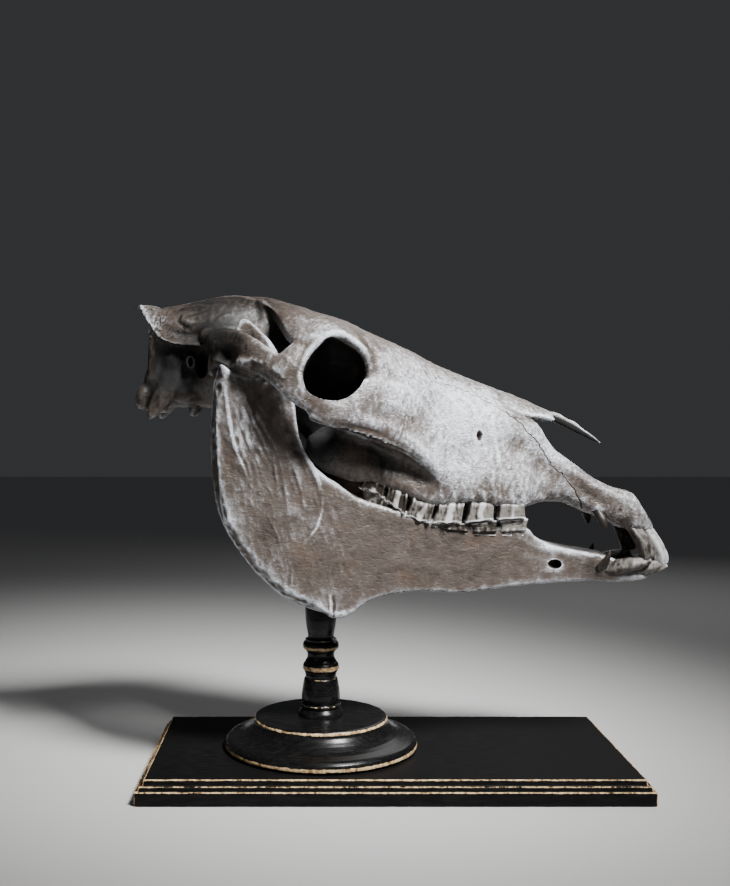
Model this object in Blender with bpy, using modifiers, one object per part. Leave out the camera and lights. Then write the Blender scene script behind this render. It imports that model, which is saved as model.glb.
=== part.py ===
"""A horse skull with its jaw closed, on a turned post, a round foot and a moulded plinth.

Sizes are in millimetres and become metres where a mesh is made. The origin is the middle of
the plinth's underside: +X runs towards the muzzle, +Y to the skull's left side, +Z up. The
skull is mirrored at Y = 0, apart from the broken tip of its right nasal bone.
"""

import math

import bmesh
import bpy
import numpy as np
from mathutils import Matrix, Vector

MM = 0.001
GAP = 0.3

# Stand
PLINTH_LENGTH = 470.0
PLINTH_DEPTH = 226.0
PLINTH_STEPS = ((0.0, 13.0), (3.4, 17.0), (7.4, 22.0))  # inset of each tier, height of its top
PLINTH_TOP = PLINTH_STEPS[-1][1]
POST_X = -66.0
FOOT_TOP = 53.0
POST_TOP = 172.0
ROD_RADIUS = 5.0
ROD_TOP = 356.0

# Fineness of the bone solids
BONE_VOXEL = 3.2
CRANIUM_TRIANGLES = 1900
JAW_TRIANGLES = 1080
SEAM = 0.36

# Cheek teeth
TOOTH_COUNT = 6
TOOTH_ROW_START = -31.0
TOOTH_ROW_END = 134.5
TOOTH_WIDTH = 22.0

# Cranium stations, rear to front. Columns: x, crown z, roof half-width and z, waist half-width
# and z, cheek half-width and z, lower edge half-width and z, floor z on the middle plane.
CORE = (
    (-236, 455, 24, 449, 38, 436, 46, 408, 30, 376, 368),
    (-218, 458, 26, 452, 44, 436, 53, 404, 34, 368, 360),
    (-190, 465, 24, 459, 46, 440, 55, 405, 32, 366, 361),
    (-160, 470, 26, 464, 46, 444, 54, 410, 30, 362, 357),
    (-130, 471, 32, 463, 47, 440, 51, 410, 27, 355, 349),
    (-104, 465, 44, 453, 45, 434, 42, 404, 25, 345, 339),
    (-72, 454, 62, 440, 46, 420, 37, 385, 32, 326, 324),
    (-42, 444, 70, 428, 52, 408, 43, 376, 50, 300, 310),
    (-14, 431, 66, 416, 74, 386, 84, 330, 61, 284, 299),
    (15, 419, 50, 408, 63, 366, 78, 319, 61, 274, 291),
    (42, 405, 42, 392, 56, 350, 70, 297, 61, 265, 284),
    (75, 391, 37, 376, 51, 338, 60, 293, 57, 269, 277),
    (106, 379, 33, 362, 47, 326, 52, 289, 50, 264, 269),
    (132, 369, 30, 353, 40, 322, 43, 288, 42, 262, 264),
    (149, 362, 24, 347, 31, 318, 31, 288, 30, 266, 267),
)

# Muzzle stations: x, top z, half-width, bottom z
MUZZLE = (
    (122, 352, 42, 263),
    (138, 350, 35, 262),
    (147, 345, 30, 265),
    (156, 331, 27, 266),
    (170, 318, 26, 266),
    (187, 305, 26, 260),
    (206, 291, 27, 252),
    (222, 281, 30, 245),
    (235, 277, 33, 222),
    (244, 272, 33, 214),
    (254, 253, 30, 212),
    (264, 239, 25, 208),
    (274, 222, 15, 204),
    (279, 209, 7, 204),
)


def flowing(keys, x):
    """The value at x of a curve through (x, value) keys, which never overshoots a key."""
    at, value = (np.array(column, float) for column in zip(*keys))
    rise = np.diff(value) / np.diff(at)
    slope = np.concatenate((rise[:1], np.zeros(len(at) - 2), rise[-1:]))
    for i in range(1, len(at) - 1):
        if rise[i - 1] * rise[i] > 0:
            slope[i] = 2 / (1 / rise[i - 1] + 1 / rise[i])
    x = min(max(x, at[0]), at[-1])
    i = min(int(np.searchsorted(at, x, side="right")) - 1, len(at) - 2)
    return hermite(value[i], value[i + 1], slope[i], slope[i + 1], at[i + 1] - at[i], x - at[i])


def hermite(start, end, start_slope, end_slope, span, along):
    """A cubic from start to end over a span, with the given slopes, read at along."""
    t = along / span
    keep = 1 + t * t * (2 * t - 3)
    lead = start_slope * span * t * (1 - t) ** 2
    trail = end_slope * span * t * t * (t - 1)
    return start * keep + end * (1 - keep) + lead + trail


def winding(points, t, closed=False):
    """The point at t (0 to 1) of a smooth curve through rows of coordinates and sizes."""
    rows = np.array(points, float)
    if closed:
        rows = np.vstack((rows[-1], rows, rows[:2]))
    steps = np.linalg.norm(np.diff(rows[:, :3], axis=0), axis=1)
    at = np.concatenate(([0.0], np.cumsum(steps)))
    slope = np.gradient(rows, at, axis=0)
    first, last = (at[1], at[-2]) if closed else (at[0], at[-1])
    x = first + (last - first) * t
    i = min(max(int(np.searchsorted(at, x, side="right")) - 1, 0), len(at) - 2)
    return hermite(rows[i], rows[i + 1], slope[i], slope[i + 1], at[i + 1] - at[i], x - at[i])


def skin(place, around, lengthwise, loop=False):
    """A closed form from a grid: place(u, v) gives a point, u goes round and v along."""
    form = bmesh.new()
    bmesh.ops.create_grid(form, x_segments=around, y_segments=lengthwise, size=0.5)
    for vert in form.verts:
        vert.co = Vector(place(vert.co.x + 0.5, vert.co.y + 0.5)) * MM
    bmesh.ops.remove_doubles(form, verts=form.verts, dist=1e-6)
    if not loop:
        ends = [edge for edge in form.edges if edge.is_boundary]
        bmesh.ops.holes_fill(form, edges=ends, sides=0)
    bmesh.ops.recalc_face_normals(form, faces=form.faces)
    return form


def ring_point(rows, u):
    """A point at u round a closed smooth ring through (y, z) rows."""
    return winding([(row[0], row[1], 0.0) for row in rows], u % 1.0, closed=True)[:2]


def lofted(stations, ring, around, lengthwise):
    """A form through stations of named sizes; ring(sizes) gives the right half, top to bottom."""
    first, last = stations[0][0], stations[-1][0]
    columns = [[(row[0], row[i]) for row in stations] for i in range(1, len(stations[0]))]
    cache = {}

    def place(u, v):
        x = first + (last - first) * v
        if v not in cache:
            half = ring([flowing(column, x) for column in columns])
            cache[v] = [(-y, z) for y, z in half] + [(y, z) for y, z in half[-2:0:-1]]
        y, z = ring_point(cache[v], u)
        return x, y, z

    return skin(place, around, lengthwise)


def bar(stations, around=10, lengthwise=24, up=(0, 0, 1), loop=False):
    """A bent bar through (x, y, z, half-width, half-height) rows, its height along up."""
    up = Vector(up)
    step = 0.004

    def place(u, v):
        here = winding(stations, v, loop)
        before = winding(stations, (v - step) % 1.0 if loop else max(v - step, 0), loop)
        after = winding(stations, (v + step) % 1.0 if loop else min(v + step, 1), loop)
        tangent = Vector((after - before)[:3]).normalized()
        side = tangent.cross(up).normalized()
        rise = side.cross(tangent)
        turn = math.tau * u
        return (Vector(here[:3]) + side * math.cos(turn) * here[3]
                + rise * math.sin(turn) * here[4])

    return skin(place, around, lengthwise, loop)


def egg(centre, radii, tilt=0.0, turn=0.0):
    """An ellipsoid, tilted about Y and then turned about Z, in degrees."""
    form = bmesh.new()
    bmesh.ops.create_uvsphere(form, u_segments=16, v_segments=10, radius=1.0)
    size = Matrix.Diagonal(Vector(radii) * MM).to_4x4()
    pose = Matrix.Rotation(math.radians(turn), 4, "Z") @ Matrix.Rotation(math.radians(tilt), 4, "Y")
    place = Matrix.Translation(Vector(centre) * MM)
    bmesh.ops.transform(form, matrix=place @ pose @ size, verts=form.verts)
    return form


def slab(outline, reach):
    """A flat plate of an (x, z) outline, from -reach to +reach across Y."""
    form = bmesh.new()
    verts = [form.verts.new(Vector((x, -reach, z)) * MM) for x, z in outline]
    face = form.faces.new(verts)
    grown = bmesh.ops.extrude_face_region(form, geom=[face])["geom"]
    moved = [item for item in grown if isinstance(item, bmesh.types.BMVert)]
    bmesh.ops.translate(form, vec=(0, 2 * reach * MM, 0), verts=moved)
    bmesh.ops.recalc_face_normals(form, faces=form.faces)
    return form


def mirrored(form):
    """The same form on the other side of Y = 0."""
    other = form.copy()
    bmesh.ops.scale(other, vec=(1, -1, 1), verts=other.verts)
    bmesh.ops.reverse_faces(other, faces=other.faces)
    return other


def both_sides(forms):
    return [item for form in forms for item in (form, mirrored(form))]


def object_of(name, forms, collection):
    """One object that holds all of the forms."""
    mesh = bpy.data.meshes.new(name)
    whole = bmesh.new()
    for form in forms:
        form.to_mesh(mesh)
        form.free()
        whole.from_mesh(mesh)
        mesh.clear_geometry()
    whole.to_mesh(mesh)
    whole.free()
    thing = bpy.data.objects.new(name, mesh)
    collection.objects.link(thing)
    return thing


def settle(thing):
    """Make an object's modifiers part of its mesh."""
    bpy.context.view_layer.update()
    shaped = thing.evaluated_get(bpy.context.evaluated_depsgraph_get())
    mesh = bpy.data.meshes.new_from_object(shaped)
    thing.modifiers.clear()
    thing.data = mesh
    return thing


def discard(thing):
    bpy.data.objects.remove(thing)


def fused(thing, voxel=BONE_VOXEL, smoothing=3):
    """Melt overlapping forms into one body with soft joins."""
    melt = thing.modifiers.new("melt", "REMESH")
    melt.mode = "VOXEL"
    melt.voxel_size = voxel * MM
    soften = thing.modifiers.new("soften", "SMOOTH")
    soften.factor = 0.5
    soften.iterations = smoothing
    return settle(thing)


def thinned(thing, triangles):
    """Reduce a body to about this many triangles."""
    thing.modifiers.new("triangles", "TRIANGULATE")
    settle(thing)
    fewer = thing.modifiers.new("fewer", "DECIMATE")
    fewer.ratio = triangles / len(thing.data.polygons)
    return settle(thing)


def made_whole(thing):
    """Mirror an open right half into a closed body."""
    glass = thing.modifiers.new("mirror", "MIRROR")
    glass.use_axis = (False, True, False)
    glass.merge_threshold = 0.00001
    return settle(thing)


def cut(thing, tools, kind="DIFFERENCE"):
    """Apply Boolean cuts one after another; many thin cuts stay closed with this solver."""
    for tool in tools:
        step = thing.modifiers.new(tool.name, "BOOLEAN")
        step.operation = kind
        step.object = tool
        step.solver = "MANIFOLD"
        settle(thing)
    return thing


def cutter(name, forms, guides):
    thing = object_of(name, forms, guides)
    thing.hide_render = True
    thing.display_type = "WIRE"
    return thing


def islands(form):
    """The vertex groups of a mesh that hang together."""
    left = set(form.verts)
    while left:
        group = {left.pop()}
        edge_of_group = list(group)
        while edge_of_group:
            vert = edge_of_group.pop()
            for edge in vert.link_edges:
                other = edge.other_vert(vert)
                if other in left:
                    left.discard(other)
                    group.add(other)
                    edge_of_group.append(other)
        yield group


def largest_body(thing):
    """Drop all but the biggest loose piece of a mesh."""
    form = bmesh.new()
    form.from_mesh(thing.data)
    groups = sorted(islands(form), key=len)
    bmesh.ops.delete(form, geom=[vert for group in groups[:-1] for vert in group], context="VERTS")
    form.to_mesh(thing.data)
    form.free()
    return thing


# ---- cranium -------------------------------------------------------------------------------

def core_ring(sizes):
    """Right half of a cranium section, crown to floor."""
    crown, roof, roof_z, waist, waist_z, cheek, cheek_z, low, low_z, floor_z = sizes
    return ((0, crown), (roof * 0.55, crown - (crown - roof_z) * 0.26), (roof, roof_z),
            (waist, waist_z), ((waist + cheek) / 2, (waist_z + cheek_z) / 2), (cheek, cheek_z),
            (max(low, cheek - 16), (cheek_z * 1.5 + low_z * 0.5) / 2 - 6), (low, low_z + 4),
            (low * 0.8, low_z), (low * 0.55, (low_z + floor_z * 2) / 3), (0, floor_z))


def muzzle_ring(sizes):
    """Right half of a section through the incisive bones, top to bottom."""
    top, half, bottom = sizes
    height = top - bottom
    return ((0, top - 0.02 * height), (half * 0.6, top), (half * 0.93, top - 0.12 * height),
            (half, top - 0.5 * height), (half * 0.97, bottom + 0.14 * height),
            (half * 0.7, bottom), (0, bottom + 0.08 * height))


def brow():
    """The broad plate of the forehead, out to the upper rims of the orbits."""
    stations = ((-128, 470, 30, 463), (-108, 465, 54, 449), (-96, 461, 84, 426),
                (-85, 458, 99, 413), (-72, 454, 99, 420), (-56, 449, 93, 425),
                (-44, 445, 88, 423), (-32, 440, 84, 413), (-20, 434, 78, 402), (0, 425, 62, 404))

    def ring(sizes):
        crown, edge, edge_z = sizes
        drop = crown - edge_z
        return ((0, crown), (edge * 0.45, crown - drop * 0.14), (edge * 0.8, crown - drop * 0.52),
                (edge * 0.97, edge_z + 3), (edge, edge_z - 3), (edge * 0.93, edge_z - 7),
                (edge * 0.7, crown - drop * 0.6 - 10), (edge * 0.4, crown - drop * 0.3 - 14),
                (0, crown - 22))

    return lofted(stations, ring, 40, 28)


def orbit_rim():
    """The ring of bone round the right orbit, through x, y, z, half-thickness, half-breadth."""
    return bar(((-47, -90, 424, 6, 5), (-33, -85, 415, 6, 5), (-23, -81, 401, 7, 5),
                (-20, -82, 388, 8, 6), (-25, -84, 374, 8, 6), (-38, -88, 363, 8, 7),
                (-56, -94, 357, 7, 7), (-72, -98, 361, 6, 7), (-84, -101, 371, 6, 7),
                (-90, -102, 384, 6, 7), (-90, -102, 396, 6, 7), (-85, -101, 409, 6, 7),
                (-75, -98, 421, 6, 6), (-62, -94, 427, 6, 5)),
               around=10, lengthwise=48, up=(0, -1, 0), loop=True)


def cheek_arch():
    """The right cheek bar, from the ear region forward into the crest of the face."""
    return bar(((-176, -50, 410, 9, 15), (-158, -60, 411, 9, 17), (-146, -74, 409, 8, 19),
                (-132, -87, 404, 6, 19), (-116, -96, 396, 5, 13), (-100, -99, 384, 5, 14),
                (-86, -98, 371, 5, 15), (-68, -95, 356, 6, 13), (-48, -91, 347, 7, 11),
                (-24, -85, 338, 8, 9), (4, -77, 326, 8, 8), (30, -69, 310, 6, 7),
                (44, -64, 298, 4, 4)), around=12, lengthwise=44)


def cheek_wall():
    """The flat of the cheek between the orbit and the facial crest."""
    return bar(((-72, -93, 352, 6, 9), (-46, -88, 353, 7, 13), (-20, -80, 355, 8, 20),
                (10, -68, 346, 8, 22)), around=12, lengthwise=14)


def jaw_joint_root():
    """The tubercle under the rear of the cheek bar, with the socket behind it."""
    return [egg((-136, -78, 391), (11, 21, 6), 0, 20), egg((-168, -66, 389), (6, 11, 8)),
            egg((-152, -70, 399), (15, 15, 7))]


def tooth_tuber():
    """The swelling of the upper jaw behind the last cheek tooth."""
    return bar(((-62, -42, 326, 13, 16), (-44, -44, 312, 14, 20), (-16, -46, 306, 14, 20)),
               around=12, lengthwise=8)


def nape_crest():
    """The rough ridge over the nape, from the middle plane down to the ear."""
    return bar(((-252, 0, 454, 8, 6), (-247, -16, 455, 8, 5), (-241, -28, 451, 7, 5),
                (-235, -36, 441, 6, 5), (-226, -44, 428, 6, 5), (-212, -51, 419, 6, 5),
                (-192, -55, 415, 6, 5), (-170, -58, 414, 7, 6)), around=10, lengthwise=20)


def nape_condyle():
    """The rounded joint beside the great hole of the nape."""
    return [egg((-240, -22, 370), (12, 13, 15), 20, -12), egg((-232, -20, 380), (14, 16, 14))]


def ear_region():
    """The swollen bone round the ear canal, and the hanging process behind it."""
    hanging = bar(((-218, -46, 392, 6, 9), (-222, -46, 372, 5, 8), (-226, -42, 356, 4, 6),
                   (-228, -41, 346, 3, 4)), around=10, lengthwise=10, up=(1, 0, 0))
    return [egg((-206, -46, 398), (13, 11, 16)), egg((-190, -49, 400), (9, 9, 10)),
            egg((-196, -36, 368), (10, 9, 12)), hanging]


def wing_plate():
    """The thin wing beside the opening of the throat."""
    return bar(((-104, -22, 344, 4, 10), (-82, -22, 330, 4, 14), (-62, -24, 318, 5, 18)),
               around=10, lengthwise=8)


def nasal_roof():
    """The two nasal bones; the left reaches on over the nostril to its thin tip."""
    stations = ((84, 387, 33, 372), (110, 378, 31, 359), (134, 369, 29, 350),
                (150, 361.5, 25, 347.5), (166, 354, 20, 344), (182, 345, 16, 338),
                (198, 334, 11, 330.5), (213, 324, 4, 322))

    def ring(sizes):
        crown, edge, edge_z = sizes
        drop = crown - edge_z
        return ((0, crown), (edge * 0.5, crown - drop * 0.28), (edge * 0.85, crown - drop * 0.7),
                (edge, edge_z), (edge * 0.85, edge_z - 2.2), (edge * 0.45, crown - drop * 0.5 - 6),
                (0, crown - drop * 0.3 - 7))

    return lofted(stations, ring, 24, 24)


def gum_line(x):
    return flowing(((-34, 288), (-9, 285), (15, 277), (31, 268), (63, 269), (82, 271),
                    (101, 264), (134, 262)), x)


def bite_line(x):
    """Height of the chewing faces along the tooth row."""
    return flowing(((-34, 284), (-12, 277), (7, 265), (23, 256), (37, 251), (75, 251),
                    (134, 252)), x)


def socket_line(x):
    """Height of the lower jaw's edge along the tooth row."""
    return flowing(((-34, 273), (-16, 267), (2, 261), (27, 253), (54, 245), (72, 243),
                    (107, 240), (136, 239)), x)


def row_half_width(x):
    """Distance of the upper tooth row's outer face from the middle plane."""
    return flowing(((-34, 56), (0, 60), (45, 59), (80, 55), (110, 48), (134, 41)), x)


def tooth(start, end, outer, inner, base, tip):
    """One cheek tooth as a tapered block between two heights."""
    form = bmesh.new()
    bmesh.ops.create_cube(form, size=1.0)
    middle = (start + end) / 2
    for vert in form.verts:
        top = vert.co.z > 0
        reach = (end - start) / 2 - (0.3 if top else 1.2)
        x = middle + math.copysign(reach, vert.co.x)
        y = -outer(x) if vert.co.y < 0 else -inner(x)
        z = base(x) if top else tip(x)
        vert.co = Vector((x, y, z)) * MM
    corners = [edge for edge in form.edges if abs((edge.verts[0].co - edge.verts[1].co).z) > 0.003]
    bmesh.ops.bevel(form, geom=corners, offset=3.0 * MM, segments=1, affect="EDGES", profile=0.5)
    return form


def upper_teeth():
    step = (TOOTH_ROW_END - TOOTH_ROW_START) / TOOTH_COUNT
    return [tooth(TOOTH_ROW_START + i * step, TOOTH_ROW_START + (i + 1) * step,
                  row_half_width, lambda x: row_half_width(x) - TOOTH_WIDTH,
                  lambda x: gum_line(x) + 9, bite_line) for i in range(TOOTH_COUNT)]


def upper_front_teeth():
    """The right canine and the three right incisors of the upper jaw."""
    canine = bar(((207, -26, 262, 4, 5), (208.5, -28.5, 248, 3.2, 4), (210, -30, 239, 1.5, 2)),
                 around=8, lengthwise=6, up=(1, 0, 0))
    incisors = [bar(((x - 9, y * 0.9, 236, 5, 6), (x - 3, y, 222, 5.2, 7), (x, y, 205.5, 4, 7)),
                    around=8, lengthwise=6, up=(-0.3, y, 0))
                for x, y in ((247, -28), (261, -20), (270, -8))]
    return [canine] + incisors


def cranium_forms():
    """Everything that melts into the cranium."""
    right = [orbit_rim(), cheek_arch(), cheek_wall(), tooth_tuber(), nape_crest(), wing_plate()]
    right += jaw_joint_root() + nape_condyle() + ear_region() + upper_front_teeth()
    return [lofted(CORE, core_ring, 44, 60), lofted(MUZZLE, muzzle_ring, 28, 36), brow(),
            nasal_roof()] + both_sides(right)


def hollows():
    """The openings of the cranium that a person would see into."""
    nostril = bar(((104, 0, 314, 24, 22), (140, 0, 312, 20, 26), (162, 0, 306, 17.5, 26),
                   (190, 0, 294, 17, 22), (214, 0, 288, 14, 12)), around=16, lengthwise=16)
    throat = bar(((-84, 0, 322, 15, 14), (-60, 0, 316, 22, 18), (-34, 0, 300, 22, 14)),
                 around=14, lengthwise=8)
    spine = bar(((-262, 0, 388, 15, 13), (-226, 0, 390, 14, 12)), around=14, lengthwise=6)
    return {"nostril": [nostril], "throat": [throat], "spine": [spine]}


# Bone seams on the right side, as lines in side view: points, nearest and farthest half-width.
# The brow seam runs on from the rear of the brow to the root of the nose.
BROW_FRONT = ((-46, 401), (-14, 401), (34, 393))
SEAMS = {
    "nape": (((-226, 480), (-221, 440), (-211, 405), (-206, 372), (-206, 330)), -1, 130),
    "brow": (((-130, 490), (-120, 445), (-104, 423), (-70, 404)) + BROW_FRONT, -1, 76),
    "brow_side": (((-66, 403.5),) + BROW_FRONT, 75.9, 130),
    "eye_bar": (((-116, 418), (-98, 399), (-76, 385)), 70, 130),
    "nose_root": (((33, 389), (42, 426)), -1, 130),
    "nose_side": (((33.5, 392), (38, 385.5), (58, 382), (70, 376), (84, 369), (95, 364), (109, 358),
                   (126, 352), (146, 346.5), (158, 340)), -1, 130),
    "incisive": (((92, 365.5), (113, 355), (127, 343), (137, 332), (147, 321), (156, 308),
                  (163, 299), (170, 293), (176, 286), (182, 277), (188, 264), (190, 240)), -1, 130),
    "tear_front": (((35, 395), (21, 366), (7, 349)), 35.6, 130),
    "tear_lower": (((-51, 374), (-20, 374), (9.6, 350)), 35.6, 130),
    "tear_rear": (((-49.8, 402.5), (-49.8, 373.2)), 35.6, 80),
    "cheek_front": (((8.3, 354), (5, 334), (1.9, 311)), 59.6, 130),
    "cheek_lower": (((-51, 332), (-22, 325), (4, 312.6)), 59.6, 130),
    "palate_rear": (((-86, 280), (-82, 326), (-74, 345), (-33, 348), (-33, 375)), -1, 60.4),
    "palate_upper": (((-33, 372), (-33, 402)), -1, 36.4),
}
# Seams along the skull: outline in side view, half-width
LONG_SEAMS = {
    "arch_root": (((-218, 366), (-112, 366), (-112, 440), (-218, 440)), 58),
    "tear_inner": (((-50.2, 373.6), (-20, 373.6), (8.3, 350.4), (21.3, 365.6), (34.6, 393.6),
                    (-14, 401.4), (-50.2, 402)), 36),
    "cheek_inner": (((-50.2, 331.4), (-22, 324.6), (2.3, 312.9), (8.4, 351.4), (-20, 374.4),
                     (-50.2, 374.4)), 60),
}
# A point on each bone of the right side, to name the pieces by
BONES = {
    "occipital": (-236, -36, 440),
    "braincase": (-160, -48, 440),
    "frontal": (-40, -40, 440),
    "lacrimal_right": (0, -68, 380),
    "zygomatic_arch_right": (-60, -98, 346),
    "maxilla_right": (80, -52, 320),
    "nasal_right": (110, -14, 377),
    "incisive": (232, -32, 262),
}
PAIRED = ("lacrimal", "zygomatic_arch", "maxilla", "nasal")


def curtain(line, near, far):
    """A thin sheet across the skull that follows a seam line."""
    rows = [Vector(point) for point in line]
    upper, lower = [], []
    for i, point in enumerate(rows):
        ahead = (rows[min(i + 1, len(rows) - 1)] - rows[max(i - 1, 0)]).normalized()
        across = Vector((-ahead.y, ahead.x)) * SEAM / 2
        upper.append(point + across)
        lower.append(point - across)
    form = slab([tuple(point) for point in upper + lower[::-1]], (far - near) / 2)
    bmesh.ops.translate(form, vec=(0, -(far + near) / 2 * MM, 0), verts=form.verts)
    return form


def long_curtain(outline, half_width):
    """A thin upright sheet along the skull."""
    form = slab(outline, SEAM / 2)
    bmesh.ops.translate(form, vec=(0, -half_width * MM, 0), verts=form.verts)
    return form


def seam_cutters(guides):
    sheets = {name: curtain(*seam) for name, seam in SEAMS.items()}
    sheets.update({name: long_curtain(*seam) for name, seam in LONG_SEAMS.items()})
    return [cutter(name + "_seam", [sheet], guides) for name, sheet in sheets.items()]


def part_bones(cranium, parts):
    """Split the right half into bones, each named by the seed point nearest to it."""
    form = bmesh.new()
    form.from_mesh(cranium.data)
    groups = list(islands(form))
    bones = {}
    for name, seed in BONES.items():
        point = Vector(seed) * MM
        group = min(groups, key=lambda verts: min((vert.co - point).length for vert in verts))
        bones[name] = piece_of(form, group, name, parts)
    form.free()
    discard(cranium)
    return bones


def piece_of(form, group, name, parts):
    """An object of its own from one loose piece of a mesh."""
    other = form.copy()
    form.verts.index_update()
    kept = {vert.index for vert in group}
    rest = [vert for vert in other.verts if vert.index not in kept]
    bmesh.ops.delete(other, geom=rest, context="VERTS")
    return object_of(name, [other], parts)


def closed_half(thing, offset=0.0):
    """Keep what lies right of the plane Y = -offset, closed there with a flat face."""
    form = bmesh.new()
    form.from_mesh(thing.data)
    geometry = form.verts[:] + form.edges[:] + form.faces[:]
    bmesh.ops.bisect_plane(form, geom=geometry, plane_co=(0, -offset * MM, 0),
                           plane_no=(0, 1, 0), clear_outer=True, dist=1e-5)
    rim = [edge for edge in form.edges if edge.is_boundary]
    bmesh.ops.contextual_create(form, geom=rim)
    bmesh.ops.triangulate(form, faces=[face for face in form.faces if len(face.verts) > 4])
    form.to_mesh(thing.data)
    form.free()
    return thing


def open_at_middle(thing):
    """Take the flat faces at Y = 0 away, so that the mirrored half can join on."""
    form = bmesh.new()
    form.from_mesh(thing.data)
    flat = [face for face in form.faces if all(abs(vert.co.y) < 2e-5 for vert in face.verts)]
    bmesh.ops.delete(form, geom=flat, context="FACES")
    for vert in form.verts:
        if abs(vert.co.y) < 2e-5:
            vert.co.y = 0.0
    form.to_mesh(thing.data)
    form.free()
    return thing


def left_copy(thing, name, parts):
    """The mirror image of a right bone as a bone of its own."""
    form = bmesh.new()
    form.from_mesh(thing.data)
    other = mirrored(form)
    form.free()
    return object_of(name, [other], parts)


def cranium_bones(parts, guides):
    """Make all bones of the cranium as closed solids, with thin gaps along their seams."""
    cranium = fused(object_of("cranium", cranium_forms(), parts))
    cut(cranium, [cutter(name, forms, guides) for name, forms in hollows().items()])
    closed_half(thinned(largest_body(cranium), CRANIUM_TRIANGLES))
    bones = part_bones(cut(cranium, seam_cutters(guides)), parts)
    teeth = [cutter(f"upper_tooth_{i + 1}", [form], guides)
             for i, form in enumerate(upper_teeth())]
    cut(bones["maxilla_right"], teeth, "UNION")
    cut(bones["incisive"], [cutter("upper_bite", [front_bite(above=False)], guides)])
    socket = cutter("rod_socket", [pin(ROD_RADIUS + GAP, POST_TOP, ROD_TOP + GAP)], guides)
    for name in ("maxilla_right", "braincase"):
        cut(bones[name], [socket])
    for name in PAIRED:
        closed_half(bones[name + "_right"], GAP / 2)
        bones[name + "_left"] = left_copy(bones[name + "_right"], name + "_left", parts)
    cut(bones["nasal_right"], [cutter("broken_tip", [broken_tip()], guides)])
    largest_body(bones["nasal_right"])
    for name in ("occipital", "braincase", "frontal", "incisive"):
        made_whole(open_at_middle(bones[name]))


def broken_tip():
    """What is broken off the front of the right nasal bone."""
    form = slab(((168, 380), (158, 353), (150, 350), (148, 330), (240, 300), (240, 380)), 30)
    bmesh.ops.translate(form, vec=(0, -30 * MM, 0), verts=form.verts)
    return form


# ---- lower jaw -----------------------------------------------------------------------------

JAW_LOWER = ((232, 192), (197, 189.5), (157, 187.5), (118, 186), (94, 183.5), (65, 181.5),
             (42, 183), (16, 183), (-8, 179.5), (-26, 173), (-41, 162.5), (-52, 161),
             (-72, 167), (-99, 178), (-124, 200), (-146, 227), (-160, 252), (-168, 290),
             (-170, 335), (-166, 376), (-160, 386))
JAW_UPPER = ((-146, 384), (-128, 378), (-108, 382), (-95, 380), (-91, 361), (-91, 345),
             (-88, 331), (-83, 318), (-75, 306), (-64, 295), (-50, 286), (-36, 275), (2, 261),
             (27, 253), (54, 245), (72, 243), (107, 240), (133, 239), (139, 233), (150, 228),
             (167, 223), (187, 219), (206, 216), (222, 211))
JAW_OUTER = ((-172, 76), (-130, 73), (-90, 71), (-50, 66), (-20, 61), (20, 56), (70, 48),
             (118, 38), (150, 29), (170, 25.5), (200, 26), (222, 30))
JAW_THICKNESS = ((-172, 13), (-150, 9), (-110, 8), (-72, 11), (-40, 19), (0, 24), (100, 22),
                 (130, 21), (150, 24), (170, 28))
JAW_FRONT = (  # x, top z, half-width, bottom z
    (140, 231, 31, 189), (152, 226, 28.5, 188), (168, 222, 25.5, 188.5), (188, 218.5, 25, 189.5),
    (206, 216, 27, 190), (221, 214, 30.5, 189), (236, 216, 33, 188.5), (247, 216, 30, 188.5),
    (257, 214, 24, 191), (265, 209, 16, 195), (272, 205, 8, 199.5))
SLAB_REACH = 10.0


def jaw_side():
    """The right half of the lower jaw: a rounded plate bent to its place and thickness."""
    plate = fused(object_of("jaw_plate", [slab(JAW_LOWER + JAW_UPPER, SLAB_REACH)],
                            bpy.context.scene.collection), 5.0, 1)
    form = bmesh.new()
    form.from_mesh(plate.data)
    discard(plate)
    for vert in form.verts:
        x, y, z = vert.co / MM
        flare = 7 * min(max((z - 290) / 90, 0), 1) * min(max((-x - 60) / 60, 0), 1)
        outer = flowing(JAW_OUTER, x) + flare
        thickness = flowing(JAW_THICKNESS, x)
        vert.co.y = -(outer - thickness * (y + SLAB_REACH) / (2 * SLAB_REACH)) * MM
    return form


def jaw_head():
    """The joint head at the top of the ramus and the blade in front of it, right side."""
    head = bar(((-155, -64, 381, 8, 7), (-155, -82, 384, 9, 7), (-155, -98, 382, 8, 6)),
               around=12, lengthwise=8)
    neck = bar(((-152, -79, 350, 6, 12), (-155, -82, 380, 7, 9)), 10, 6, up=(1, 0, 0))
    blade = bar(((-106, -74, 366, 4, 14), (-110, -71, 392, 3.6, 13), (-120, -68, 414, 3.4, 11),
                 (-131, -67, 429, 3, 7), (-139, -66, 438, 2.4, 3.5)), 10, 14, up=(1, 0, 0))
    return [head, neck, blade]


def lower_front_teeth():
    canine = bar(((212, -25, 198, 4, 5), (214, -27.5, 209, 3.4, 4), (217, -29, 219, 1.5, 2)),
                 around=8, lengthwise=6, up=(1, 0, 0))
    corner = bar(((226, -26, 194, 5, 6), (240, -29, 203, 6, 8), (246, -27, 212, 5, 7)),
                 around=8, lengthwise=6, up=(-0.3, -1, 0))
    return [canine, corner]


def lower_tooth_row():
    step = (TOOTH_ROW_END - TOOTH_ROW_START) / TOOTH_COUNT
    outer = lambda x: row_half_width(x) - 5.5
    return [tooth(TOOTH_ROW_START + i * step + 1, TOOTH_ROW_START + (i + 1) * step + 1,
                  outer, lambda x: outer(x) - 15, lambda x: bite_line(x) - GAP,
                  lambda x: socket_line(x) - 8) for i in range(TOOTH_COUNT)]


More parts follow.
